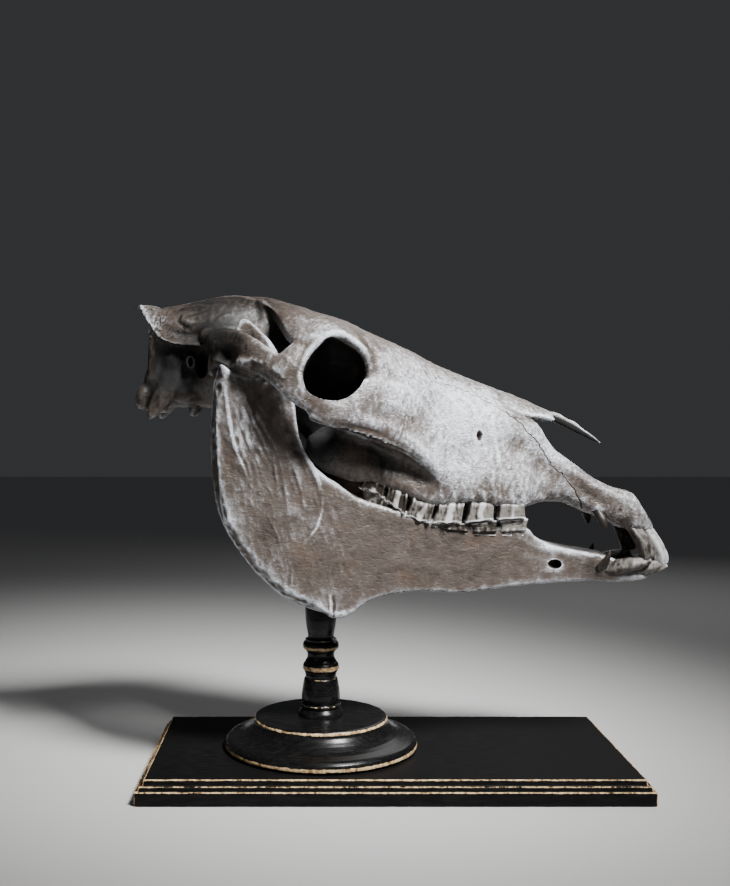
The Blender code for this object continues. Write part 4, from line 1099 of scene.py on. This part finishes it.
def jagged(line, step, depth, seed):
    """A seam line with small teeth along it."""
    rows = spaced(line, step)
    offsets = np.clip(grain(np.stack([np.arange(len(rows))] * 3, 1), 1.9, seed) * 2.0, -1, 1)
    return rows + sideways(rows) * offsets[:, None] * depth


def sheet(line, near, far, thickness):
    """A thin sheet across the skull that follows a seam line, on the right or on both sides."""
    rows = np.array(line, float)
    across = sideways(rows) * thickness / 2
    outline = np.vstack((rows + across, (rows - across)[::-1]))
    return [slab(outline, -far, far)] if near < 0 else both_sides([slab(outline, -far, -near)])


def seam_tools():
    """Thin sheets for every seam of the cranium."""
    half_seam = CLOSED_SEAM / 2
    sheets = {name: sheet(*seam, CLOSED_SEAM) for name, seam in SEAMS.items()}
    for name, (outline, half) in WALLS.items():
        sheets[name] = both_sides([slab(outline, -half - half_seam, -half + half_seam)])
    sheets["middle"] = [slab(MIDDLE, -half_seam, half_seam)]
    sheets["nose_seam"] = sheet(jagged(NOSE_LINE, 1.6, 0.9, 5), -1, 130, NOSE_SEAM)
    sheets["front_seam"] = sheet(jagged(FRONT_LINE, 1.6, 1.0, 9), -1, 130, FRONT_SEAM)
    return [tool(name, forms) for name, forms in sheets.items()]


def parted(mass):
    """Part the cranium along its seams; gives the bones by name and drops splinters."""
    cut(mass, seam_tools())
    bpy.ops.object.select_all(action="DESELECT")
    mass.select_set(True)
    bpy.context.view_layer.objects.active = mass
    bpy.ops.mesh.separate(type="LOOSE")
    pieces = {thing: Clay.read(thing.data.vertices, "co") / MM
              for thing in bpy.context.selected_objects}
    bones = {}
    for name, seed in BONES.items():
        for side, sign in (("right", 1), ("left", -1)):
            place = np.array(seed) * (1, sign, 1)
            reach = {thing: np.min(np.sum((points - place) ** 2, axis=1))
                     for thing, points in pieces.items()}
            bones[name.replace("right", side)] = min(reach, key=reach.get)
    assert len(set(bones.values())) == len(bones), "a seam doesn't go right through"
    for thing in set(pieces) - set(bones.values()):
        bpy.data.objects.remove(thing)
    for name, bone in bones.items():
        bone.name = "bone_" + name
    return bones


def break_nose(bones):
    """Break the tips off the nasal bones; the left one's thin inner blade reaches on."""
    for side in ("right", "left"):
        cut(bones["nasal_" + side], [tool("broken_tip", [slab(BROKEN_TIP, -60, 60)])])
    cut(bones["nasal_left"], [tool("long_tip", [bar(LONG_TIP, 20, 70)])], "UNION")


def lightened(thing):
    """Keep a piece under the triangle count that one piece may have."""
    thing.data.calc_loop_triangles()
    count = len(thing.data.loop_triangles)
    if count > PIECE_TRIANGLES:
        thin = thing.modifiers.new("thin", "DECIMATE")
        thin.ratio = PIECE_TRIANGLES / count
        settle(thing)


# ---- stand ----

POST_X = -66.0
FOOT_PROFILE = (  # radius and z, top to bottom
    (0, 53), (40, 53.2), (58, 53.0), (63, 52.9), (65.0, 52.4), (66.0, 51.2), (66.3, 49.8), (66.2, 48.6),
    (67.0, 46.8), (69.3, 44.0), (72.7, 40.6), (77, 37.4), (82, 35.2), (87, 34.0), (90, 33.4),
    (92.4, 32.4), (94.4, 30.4), (95.4, 28), (95.7, 25.8), (95.2, 23.8), (93.8, 22.5), (92.6, 22.1),
    (0, 22.1))
POST_PROFILE = (  # radius and z, top to bottom
    (0, 172), (15.4, 172), (15.9, 171.4), (15.8, 158), (15.4, 148), (14.4, 140), (13.3, 134.6),
    (12.9, 131.6), (13.1, 130), (14.4, 129.2), (15.6, 128.7), (15.7, 127.4), (15.4, 126.8), (16.7, 126),
    (17.8, 124.2), (18.1, 122), (17.7, 120), (16.6, 118.6), (15.1, 118), (15.0, 117.2), (14.0, 115.8),
    (13.4, 113.3), (13.5, 111), (14.3, 108.6), (15.6, 106.8), (15.7, 106), (16.9, 104.9), (17.8, 103),
    (18.1, 101), (17.8, 98.8), (17.0, 97.1), (16.1, 96.2), (16.0, 95.2), (15.5, 93.8), (15.3, 91.9),
    (15.4, 90.6), (16.2, 90), (16.9, 88.6), (17.7, 84), (18.6, 79), (19.1, 74), (19.1, 69.6),
    (18.5, 66.4), (18.0, 65.6), (18.9, 65), (19.7, 64.2), (19.9, 63), (19.7, 61.6), (19.0, 60.8),
    (19.2, 60.2), (20.6, 58.6), (21.8, 56.6), (22.4, 54.6), (22.5, 53.3), (0, 53.3))
# How far out from the axis, or in from the plinth's side, height, reach and strength of the wear.
FOOT_WEAR = ((66.0, 51.0, 1.5, 0.95), (95.6, 26.2, 2.0, 1.0), (67.5, 45.5, 2.5, 0.25))
# On the post, the thin pale rings at 128, 90, 64 and 54 mm are partly rubbed gilding and partly painted
# highlight, the sheen of the turned beads.
POST_WEAR_AND_SHEEN = (
    (17.9, 120.2, 1.7, 1.0), (18.1, 100.6, 2.4, 1.0), (15.7, 128.4, 0.8, 0.62), (16.1, 90.3, 0.8, 0.6),
    (19.8, 64.0, 0.9, 0.6), (22.5, 54.0, 0.9, 0.55), (18.0, 84.0, 8.0, 0.16), (15.8, 156.0, 14.0, 0.14))
PLINTH_HALF = (235.0, 113.0)
PLINTH_PROFILE = (  # how far in from the side, and z
    (8, 0), (3, 0), (0.9, 0), (0, 0.8), (0, 12.3), (0.7, 13), (2.6, 13), (3.1, 13.4), (3.1, 14.2),
    (3.6, 16.4), (4.4, 17), (6.4, 17), (6.9, 17.5), (7.1, 19.2), (7.4, 21.3), (8.1, 22), (10, 22),
    (14, 22))
PLINTH_TOP_EDGE = 8.0  # how far in from the plinth's side its top begins
PLINTH_WEAR = (
    (0.3, 12.8, 1.0, 0.95), (3.9, 16.8, 0.8, 0.95), (7.7, 21.8, 0.9, 1.0), (0.4, 0.5, 0.7, 0.5))
CORNER_WEAR = (0.9, 1.3)  # strength and reach


def resampled(profile, step):
    """A profile with more points along its straight stretches."""
    rows = [profile[0]]
    for start, end in zip(profile, profile[1:]):
        count = max(int(math.dist(start, end) / step), 1)
        rows += [tuple(np.array(start) + (np.array(end) - start) * i / count)
                 for i in range(1, count + 1)]
    return rows


def turned(name, profile, steps):
    """A turned solid from (radius, z) points, on the post's axis."""
    form = bmesh.new()
    verts = [form.verts.new(Vector((radius, 0, z)) * MM) for radius, z in resampled(profile, 0.7)]
    edges = [form.edges.new(pair) for pair in zip(verts, verts[1:])]
    bmesh.ops.spin(form, geom=verts + edges, cent=(0, 0, 0), axis=(0, 0, 1), angle=math.tau,
                   steps=steps, use_merge=True)
    bmesh.ops.remove_doubles(form, verts=form.verts, dist=WELD)
    bmesh.ops.recalc_face_normals(form, faces=form.faces)
    bmesh.ops.translate(form, vec=(POST_X * MM, 0, 0), verts=form.verts)
    return object_of(name, [form], parts)


def plinth():
    """The moulded rectangular base: three tiers with slightly rounded corners."""
    half_x, half_y = PLINTH_HALF
    corner, step = 1.6, 1.8
    ring = []
    for side in range(4):
        reach, depth = (half_y, half_x) if side % 2 == 0 else (half_x, half_y)
        turn = Matrix.Rotation(side * math.pi / 2, 2)
        count = int(2 * (reach - corner) / step)
        for i in range(count + 1):
            ring.append(turn @ Vector((depth, -(reach - corner) + 2 * (reach - corner) * i / count)))
        for i in range(1, 5):
            angle = math.pi / 2 * i / 5
            ring.append(turn @ Vector((depth - corner + corner * math.cos(angle),
                                       reach - corner + corner * math.sin(angle))))
    rows = resampled(PLINTH_PROFILE, 1.0)

    def place(u, v):
        point = ring[round(u * len(ring)) % len(ring)]
        inset, height = rows[round(v * (len(rows) - 1))]
        return (point.x * (half_x - inset) / half_x, point.y * (half_y - inset) / half_y, height)

    return object_of("moulded_plinth", [skin(place, len(ring), len(rows) - 1)], parts)


def worn(thing, wear_lines, inwards, nibble, corners=False):
    """Note the wear along a piece's edges, and on the post a painted highlight on thin rings, and nibble
    at them.

    The lines hold how far in or out (read by inwards), height, reach and strength. With corners,
    the plinth's upright corners are worn too.
    """
    clay = Clay(thing)
    level = inwards(clay.points)
    amount = np.zeros(clay.count)
    for at, height, reach, strength in wear_lines:
        away = np.hypot(level - at, clay.points[:, 2] - height)
        amount = np.maximum(amount, strength * np.exp(-(away / reach) ** 2))
    if corners:
        gap = np.abs(np.abs(clay.points[:, :2]) - PLINTH_HALF) - level[:, None]
        strength, reach = CORNER_WEAR
        corner = strength * np.exp(-(np.hypot(*gap.T) / reach) ** 2) * (level < PLINTH_TOP_EDGE)
        amount = np.maximum(amount, corner)
    chips = np.clip(layered(clay.points * (1, 1, 0.4), 5, 2, 90) - 0.1, 0, 1)
    clay.push(-nibble * amount * chips)
    clay.settle()
    clay.note("edge_wear_and_sheen", amount)


def from_axis(points):
    """How far points are from the post's axis."""
    return np.hypot(points[:, 0] - POST_X, points[:, 1])


def from_side(points):
    """How far points lie in from the plinth's nearest side."""
    return np.min(np.array(PLINTH_HALF) - np.abs(points[:, :2]), axis=1)


def stand():
    """The plinth, the turned foot and the turned post."""
    base = plinth()
    worn(base, PLINTH_WEAR, from_side, 0.9, corners=True)
    foot = turned("turned_foot", FOOT_PROFILE, 160)
    worn(foot, FOOT_WEAR, from_axis, 0.5)
    post = turned("turned_post", POST_PROFILE, 96)
    worn(post, POST_WEAR_AND_SHEEN, from_axis, 0.3)
    return base, foot, post


# ---- finishes ----


class Wire:
    """An output of a shader node, to reckon with: sums and products become Math nodes."""

    def __init__(self, tree, source):
        self.tree = tree
        self.source = source

    def node(self, kind, settings, inputs, output=0):
        """Any node: its settings are made first, then its inputs are linked or given values."""
        made = self.tree.nodes.new("ShaderNode" + kind)
        for name, value in settings.items():
            setattr(made, name, value)
        for key, value in inputs.items():
            if isinstance(value, Wire):
                self.tree.links.new(value.source, made.inputs[key])
            else:
                made.inputs[key].default_value = value
        return Wire(self.tree, made.outputs[output])

    def maths(self, operation, *values):
        return self.node("Math", {"operation": operation}, dict(enumerate(values)))

    def __add__(self, other):
        return self.maths("ADD", self, other)

    def __sub__(self, other):
        return self.maths("SUBTRACT", self, other)

    def __rsub__(self, other):
        return self.maths("SUBTRACT", other, self)

    def __mul__(self, other):
        return self.maths("MULTIPLY", self, other)

    __radd__ = __add__
    __rmul__ = __mul__

    def eased(self, low, high):
        """0 below low, 1 above high and a smooth rise between; low may lie above high."""
        settings = {"interpolation_type": "SMOOTHSTEP"}
        turned_over = low > high
        span = {"Value": self, "From Min": min(low, high), "From Max": max(low, high),
                "To Min": float(turned_over), "To Max": float(not turned_over)}
        return self.node("MapRange", settings, span)

    def scaled(self, factors):
        """These coordinates, stretched along each axis."""
        return self.node("VectorMath", {"operation": "MULTIPLY"}, {0: self, 1: factors})

    def noise(self, scale, detail=4.0, roughness=0.55, distortion=0.0):
        """Noise over these coordinates, about 0.5 in the middle."""
        return self.node("TexNoise", {}, {"Vector": self, "Scale": scale, "Detail": detail,
                                          "Roughness": roughness, "Distortion": distortion})

    def veins(self, scale, width, distortion=0.0):
        """Thin winding lines over these coordinates: 1 on a line and 0 away from it."""
        drift = self.noise(scale, 2.0, 0.5, distortion) - 0.5
        return drift.maths("ABSOLUTE", drift).eased(width, 0.0)

    def between(self, low, high):
        """A colour that goes from low to high as this value goes from 0 to 1."""
        settings = {"data_type": "RGBA", "clamp_factor": True}
        return self.node("Mix", settings, {0: self, 6: low, 7: high}, 2)


def new_finish(name):
    """A material, its shader and a wire of Object coordinates."""
    material = bpy.data.materials.new(name)
    material.use_nodes = True
    tree = material.node_tree
    shader = tree.nodes["Principled BSDF"]
    places = Wire(tree, tree.nodes.new("ShaderNodeTexCoord").outputs["Object"])
    return material, shader, places


def shade(shader, places, strength=1.0, distance=0.0004, **inputs):
    """Link wires to a shader's sockets; height becomes a bump."""
    height = inputs.pop("height", None)
    if height is not None:
        inputs["Normal"] = places.node("Bump", {}, {"Height": height, "Strength": strength,
                                                    "Distance": distance})
    for name, value in inputs.items():
        socket = shader.inputs[name.replace("_", " ")]
        if isinstance(value, Wire):
            places.tree.links.new(value.source, socket)
        else:
            socket.default_value = value


def attribute(places, name):
    """What a mesh notes for each point under a name."""
    return places.node("Attribute", {"attribute_name": name}, {}, 2)


def bone_finish():
    """Old handled bone: warm grey-brown and mottled; raised places are painted silvery as highlight and
    sunken places painted dark as shade.
    """
    material, shader, places = new_finish("old_bone")
    fine = attribute(places, "fine_relief")
    broad = attribute(places, "broad_relief")
    pale = attribute(places, "pale")
    swell = places.noise(16, 3, 0.5, 0.6)
    mottle = places.noise(62, 3, 0.45, 1.0)
    worms = places.noise(230, 3, 0.6, 1.6)
    grit = places.noise(620, 3, 0.6)
    fibres = places.scaled((1.0, 1.0, 2.2)).noise(130, 3, 0.5, 1.0)
    lines = places.veins(150, 0.03, 0.5)
    # Painted shade and highlight: fine and broad relief darken hollows and pale ridges, and pale brings
    # in tone spots that hold painted shade and painted highlight.
    tone = (0.41 + (mottle - 0.5) * 0.75 + (swell - 0.5) * 1.1 + (fibres - 0.5) * 0.45
            + (worms - 0.5) * 0.5 + fine * 0.38 + broad * 0.45 + pale * 0.62 + lines * 0.08)
    # bright, a bluish white, is painted highlight on the lit face and the ridges.
    dark, middle, light, bright = (
        (0.009, 0.007, 0.0055, 1), (0.100, 0.079, 0.066, 1), (0.275, 0.262, 0.262, 1),
        (0.82, 0.86, 0.94, 1))
    colour = tone.eased(-0.5, 0.42).between(dark, middle)
    colour = tone.eased(0.35, 1.0).between(colour, light)
    colour = tone.eased(0.75, 1.55).between(colour, bright)
    rust = places.noise(34, 4).eased(0.54, 0.75) * 0.4
    colour = (rust * tone.eased(1.1, 0.3)).between(colour, (0.15, 0.090, 0.055, 1))
    shaded = pale.eased(-0.8, -2.0)
    colour = shaded.between(colour, (0.002, 0.002, 0.002, 1))
    silver = tone.eased(0.5, 1.2)
    rough = 0.43 + (mottle - 0.5) * 0.3 - fine * 0.1 - silver * 0.16 + shaded * 0.5
    height = ((fibres - 0.5) * 0.5 + (worms - 0.5) * (silver * 1.3 + 0.10) + (grit - 0.5) * 0.06
              + lines * 0.06 + (mottle - 0.5) * 0.5) * (1 - shaded)
    shade(shader, places, 0.7, 0.0018, Base_Color=colour, Roughness=rough, height=height)
    shader.inputs["Specular IOR Level"].default_value = 0.75
    return material


def tooth_finish():
    """Tooth enamel and cement: cream-grey, with brown stains running up and down."""
    material, shader, places = new_finish("old_teeth")
    streaks = places.scaled((1.0, 1.0, 0.18)).noise(260, 4, 0.6, 0.3)
    mottle = places.noise(120, 4, 0.6)
    depth = attribute(places, "fine_relief")
    stain_and_shade = attribute(places, "pale")
    # Painted shade and highlight: fine relief darkens the grooves and pales the ridges, and the stain
    # value darkens the rear upper cheek teeth as painted shade.
    tone = 0.36 + (streaks - 0.5) * 0.9 + (mottle - 0.5) * 0.8 + depth * 0.9 + stain_and_shade
    colour = tone.eased(-0.1, 0.55).between((0.022, 0.016, 0.012, 1), (0.24, 0.22, 0.20, 1))
    colour = tone.eased(0.5, 1.1).between(colour, (0.66, 0.66, 0.66, 1))
    shade(shader, places, 0.4, 0.0006, Base_Color=colour, Roughness=0.46 - (streaks - 0.5) * 0.3,
          height=(streaks - 0.5) + (mottle - 0.5) * 0.4)
    return material


def lacquer_finish(name, dullness, shine, seed):
    """Black lacquer on wood, rubbed through to pale gold-brown along its edges."""
    material, shader, places = new_finish(name)
    wear = attribute(places, "edge_wear_and_sheen")
    along = places.scaled((0.12, 1.0, 1.0)).noise(500, 5, 0.65)
    patches = places.noise(30 + seed, 5, 0.65)
    nicks = places.noise(240 + seed, 4, 0.7)
    # On the post, rubbed also carries painted highlight on thin rings.
    rubbed = wear + (patches - 0.5) * 0.9 + (nicks - 0.5) * 0.7
    rubbed = rubbed.eased(0.50, 0.66) * wear.eased(0.10, 0.28)
    specks = places.noise(420 + seed, 3, 0.6).eased(0.70, 0.76) * patches.eased(0.52, 0.62)
    black = along.eased(0.35, 0.8).between((0.0035, 0.0034, 0.0036, 1), (0.012, 0.0115, 0.011, 1))
    gold = nicks.eased(0.35, 0.6).between((0.24, 0.125, 0.045, 1), (0.78, 0.57, 0.32, 1))
    colour = rubbed.maths("MAXIMUM", rubbed, specks * 0.35).between(black, gold)
    rough = dullness + (along - 0.5) * 0.2 + rubbed * 0.2
    shade(shader, places, 0.3, 0.0004, Base_Color=colour, Roughness=rough,
          height=(along - 0.5) * 0.5 - rubbed * 0.8 - specks * 0.6)
    shader.inputs["Specular IOR Level"].default_value = shine
    return material


def steel_finish():
    """Dull steel of the hidden rod."""
    material, shader, places = new_finish("rod_steel")
    shade(shader, places, Base_Color=(0.22, 0.22, 0.23, 1), Metallic=1.0,
          Roughness=0.34 + (places.noise(300, 3) - 0.5) * 0.2)
    return material


# ---- putting it together ----

DARKEST, PALEST = -2.5, 1.2
MIDDLE_FACE = 0.3  # how near the middle plane a half bone's inner face lies
# Spots below 0 are mostly painted shade: in the orbits, behind the eye bar, in the gap behind the upper
# jaw, under the facial crest, in the ear pits, at the nape and over the rear of the braincase. The large
# pale spots on the face and the one on the nape crest are painted highlight.
CRANIUM_TONES = (  # x, half-width or None for any, z, radius and strength
    (75, None, 345, 60, 1.2), (150, None, 318, 40, 0.8), (10, None, 385, 38, 0.95),
    (2, None, 284, 16, -0.6), (250, 20, 262, 16, 0.4), (60, None, 300, 26, 0.6),
    (-40, None, 350, 22, 0.3), (-60, None, 430, 30, 0.5), (220, None, 285, 40, 0.3),
    (-10, None, 300, 30, -0.75), (-55, None, 322, 22, -0.8), (25, None, 288, 16, -0.7),
    (-170, None, 452, 48, -1.35), (-122, None, 440, 26, -0.3), (-225, None, 385, 40, -1.35),
    (-196, None, 398, 20, -1.5), (-122, None, 408, 22, 0.15), (-136, 80, 396, 9, -0.5),
    (-74, 38, 338, 24, -2.6), (-60, 46, 330, 14, -1.2), (-156, 76, 404, 10, -1.5),
    (-150, None, 424, 20, -0.4), (-230, None, 438, 13, 1.0), (-246, None, 455, 12, 0.4),
    (-54, 48, 394, 32, -3.5), (-100, 44, 425, 22, -1.6), (229, 33, 247, 8, -0.5),
    (200, 28, 275, 16, -0.1), (-60, 30, 300, 26, -1.5))
# Painted shade: the dark band under the left nasal blade. Painted highlight: the pale lines along that
# blade's top edge, the facial crest, the orbit rim and the nape crest. The band along the crown is
# darker.
CRANIUM_LINES = (  # line in side view, reach and strength
    (CREST_EDGE, 1.4, 0.3), (((167, 349), (186, 340), (196, 334), (210, 326)), 3.4, -3.4),
    (((168, 354), (180, 349), (190, 343), (198, 337), (206, 331.5), (214, 325)), 1.2, 3.6),
    (((-120, 469), (-72, 455), (-42, 444), (0, 425), (42, 405), (75, 391), (106, 379), (150, 362)),
     8.0, -0.55),
    (((-84, 372), (-87, 388), (-80, 403), (-70, 413), (-60, 425), (-46, 424)), 2.0, 0.6),
    (((-243, 457), (-235, 441), (-226, 428), (-217, 421), (-201, 418)), 3.0, 0.6))
# Painted highlight: the pale spots on the lit patches of the ramus and at the foot of the jaw's blade.
# Painted shade: the dark spots in the hollows of the ramus and on the blade under the cheek bar.
JAW_TONES = (
    (-143, None, 346, 20, 0.9), (-135, None, 320, 14, 0.4), (-100, None, 374, 11, 0.9),
    (-126, None, 366, 12, -0.6), (-130, 70, 428, 13, -0.7), (-104, None, 338, 17, -0.75),
    (-160, None, 340, 8, -0.3), (-148, None, 262, 30, 0.6), (-114, None, 244, 17, -0.7),
    (-65, None, 210, 20, -0.35), (-118, None, 202, 12, 0.5), (25, None, 222, 80, -0.42),
    (-60, None, 175, 24, 0.5), (155, None, 218, 16, 0.4), (-72, None, 300, 16, 0.6),
    (60, None, 200, 40, -0.15), (205, None, 200, 22, -0.4), (262, None, 200, 16, -0.2))
# Painted highlight: pale lines along the jaw's rim and the ridges of the ramus.
JAW_LINES = (
    (JAW_EDGE[3:], 1.3, 0.8), (JAW_EDGE[:4], 1.0, 0.35),
    (((-155, 378), (-151, 341), (-145.6, 319), (-138, 302)), 1.3, 0.4),
    (RAMUS_FOOT, 1.2, 0.35))


def toned(thing, spots, lines):
    """Note where bone is paler (above 0) or darker (below 0): its own tone, with painted shade and
    painted highlight; its face on the middle plane is painted dark as shade.
    """
    clay = Clay(thing)
    places = np.abs(clay.points) * (0, 1, 0) + clay.points * (1, 0, 1)
    amount = np.zeros(clay.count)
    for x, half, z, radius, strength in spots:
        away = places - (x, half or 0, z)
        away[:, 1] *= half is not None
        amount += strength * np.exp(-np.sum(away ** 2, axis=1) / radius ** 2)
    for line, reach, strength in lines:
        amount += strength * np.exp(-(distance_to(line, clay.points[:, [0, 2]])[0] / reach) ** 2)
    # Painted shade: a half bone's inner face on the middle plane is made darkest.
    across = clay.points[:, 1]
    if across.min() > -MIDDLE_FACE or across.max() < MIDDLE_FACE:
        amount[np.abs(across) < MIDDLE_FACE] = DARKEST
    clay.note("pale", np.clip(amount, DARKEST, PALEST))


def fitted(piece, node, finish, smooth_angle):
    """Finish a piece, shade it smooth up to an angle, and let it stand for its node."""
    piece.data.materials.clear()
    piece.data.materials.append(finish)
    piece.data.shade_smooth()
    piece.data.set_sharp_from_angle(angle=math.radians(smooth_angle))
    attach(piece, "root")
    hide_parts(node)


bone, enamel = bone_finish(), tooth_finish()
lacquer = lacquer_finish("glossy_lacquer", 0.26, 0.3, 0)
worn_wood = lacquer_finish("worn_plinth", 0.55, 0.08, 7)

for tooth, node in teeth():
    fitted(tooth, node, enamel, 40)
skull = cranium()
marked(worked_cranium(skull))
bones = parted(skull)
break_nose(bones)
for thing in bones.values():
    toned(thing, CRANIUM_TONES, CRANIUM_LINES)
jaw = lower_jaw()
marked(worked_jaw(jaw))
toned(jaw, JAW_TONES, JAW_LINES)
bones["mandible"] = jaw
for node, thing in bones.items():
    lightened(thing)
    fitted(thing, node, bone, 50)
base, foot, post = stand()
fitted(base, "stand_plinth", worn_wood, 35)
fitted(foot, "stand_foot", lacquer, 35)
fitted(post, "stand_post", lacquer, 35)
rod = bpy.data.objects["stand_rod"]
rod.data.materials.clear()
rod.data.materials.append(steel_finish())


# ---- floor, light and camera ----

FOCAL, CENTRE, PICTURE = 1073.0, (310.5, 425.0), (730.0, 886.0)  # pixels of the photo's frame
CAMERA_PLACE = (-0.0764, -1.073, 0.342)
SKULL_MIDDLE = (0.0, 0.0, 0.3)
FACE_MIDDLE = (0.06, -0.06, 0.37)


def placed(name, data, place, turn):
    """A lamp or a camera, at a place in metres."""
    thing = bpy.data.objects.new(name, data)
    thing.location = place
    thing.rotation_euler = turn
    bpy.context.scene.collection.objects.link(thing)
    return thing


def area_light(name, place, target, size, energy, spread=180):
    """A soft square light, turned to a target, that fans out by spread degrees."""
    lamp = bpy.data.lights.new(name, "AREA")
    lamp.size = size
    lamp.energy = energy
    lamp.spread = math.radians(spread)
    aim = Vector(target) - Vector(place)
    placed(name, lamp, place, aim.to_track_quat("-Z", "Y").to_euler())


def stage():
    """A plain pale floor, a dim grey surrounding and three soft lights."""
    form = bmesh.new()
    bmesh.ops.create_grid(form, x_segments=1, y_segments=1, size=6)
    floor = object_of("floor", [form], bpy.context.scene.collection)
    material, shader, places = new_finish("pale_floor")
    shade(shader, places, Base_Color=(0.62, 0.61, 0.60, 1), Roughness=0.8)
    floor.data.materials.append(material)
    world = bpy.data.worlds.new("studio")
    world.use_nodes = True
    world.node_tree.nodes["Background"].inputs["Color"].default_value = (0.30, 0.31, 0.33, 1)
    world.node_tree.nodes["Background"].inputs["Strength"].default_value = 0.12
    bpy.context.scene.world = world
    area_light("key", (0.7, -0.9, 1.7), FACE_MIDDLE, 0.45, 4.6, 34)
    area_light("fill", (-1.3, -1.4, 0.7), SKULL_MIDDLE, 1.6, 1.4)
    area_light("rim", (0.5, 1.2, 1.1), SKULL_MIDDLE, 0.8, 3)


def camera():
    """The photo's level view."""
    view = bpy.data.cameras.new("camera")
    view.sensor_width = 36.0
    view.lens = FOCAL / PICTURE[1] * view.sensor_width
    view.shift_x = (PICTURE[0] / 2 - CENTRE[0]) / PICTURE[1]
    view.shift_y = -(PICTURE[1] / 2 - CENTRE[1]) / PICTURE[1]
    bpy.context.scene.camera = placed("camera", view, CAMERA_PLACE, (math.radians(90), 0, 0))


stage()
camera()
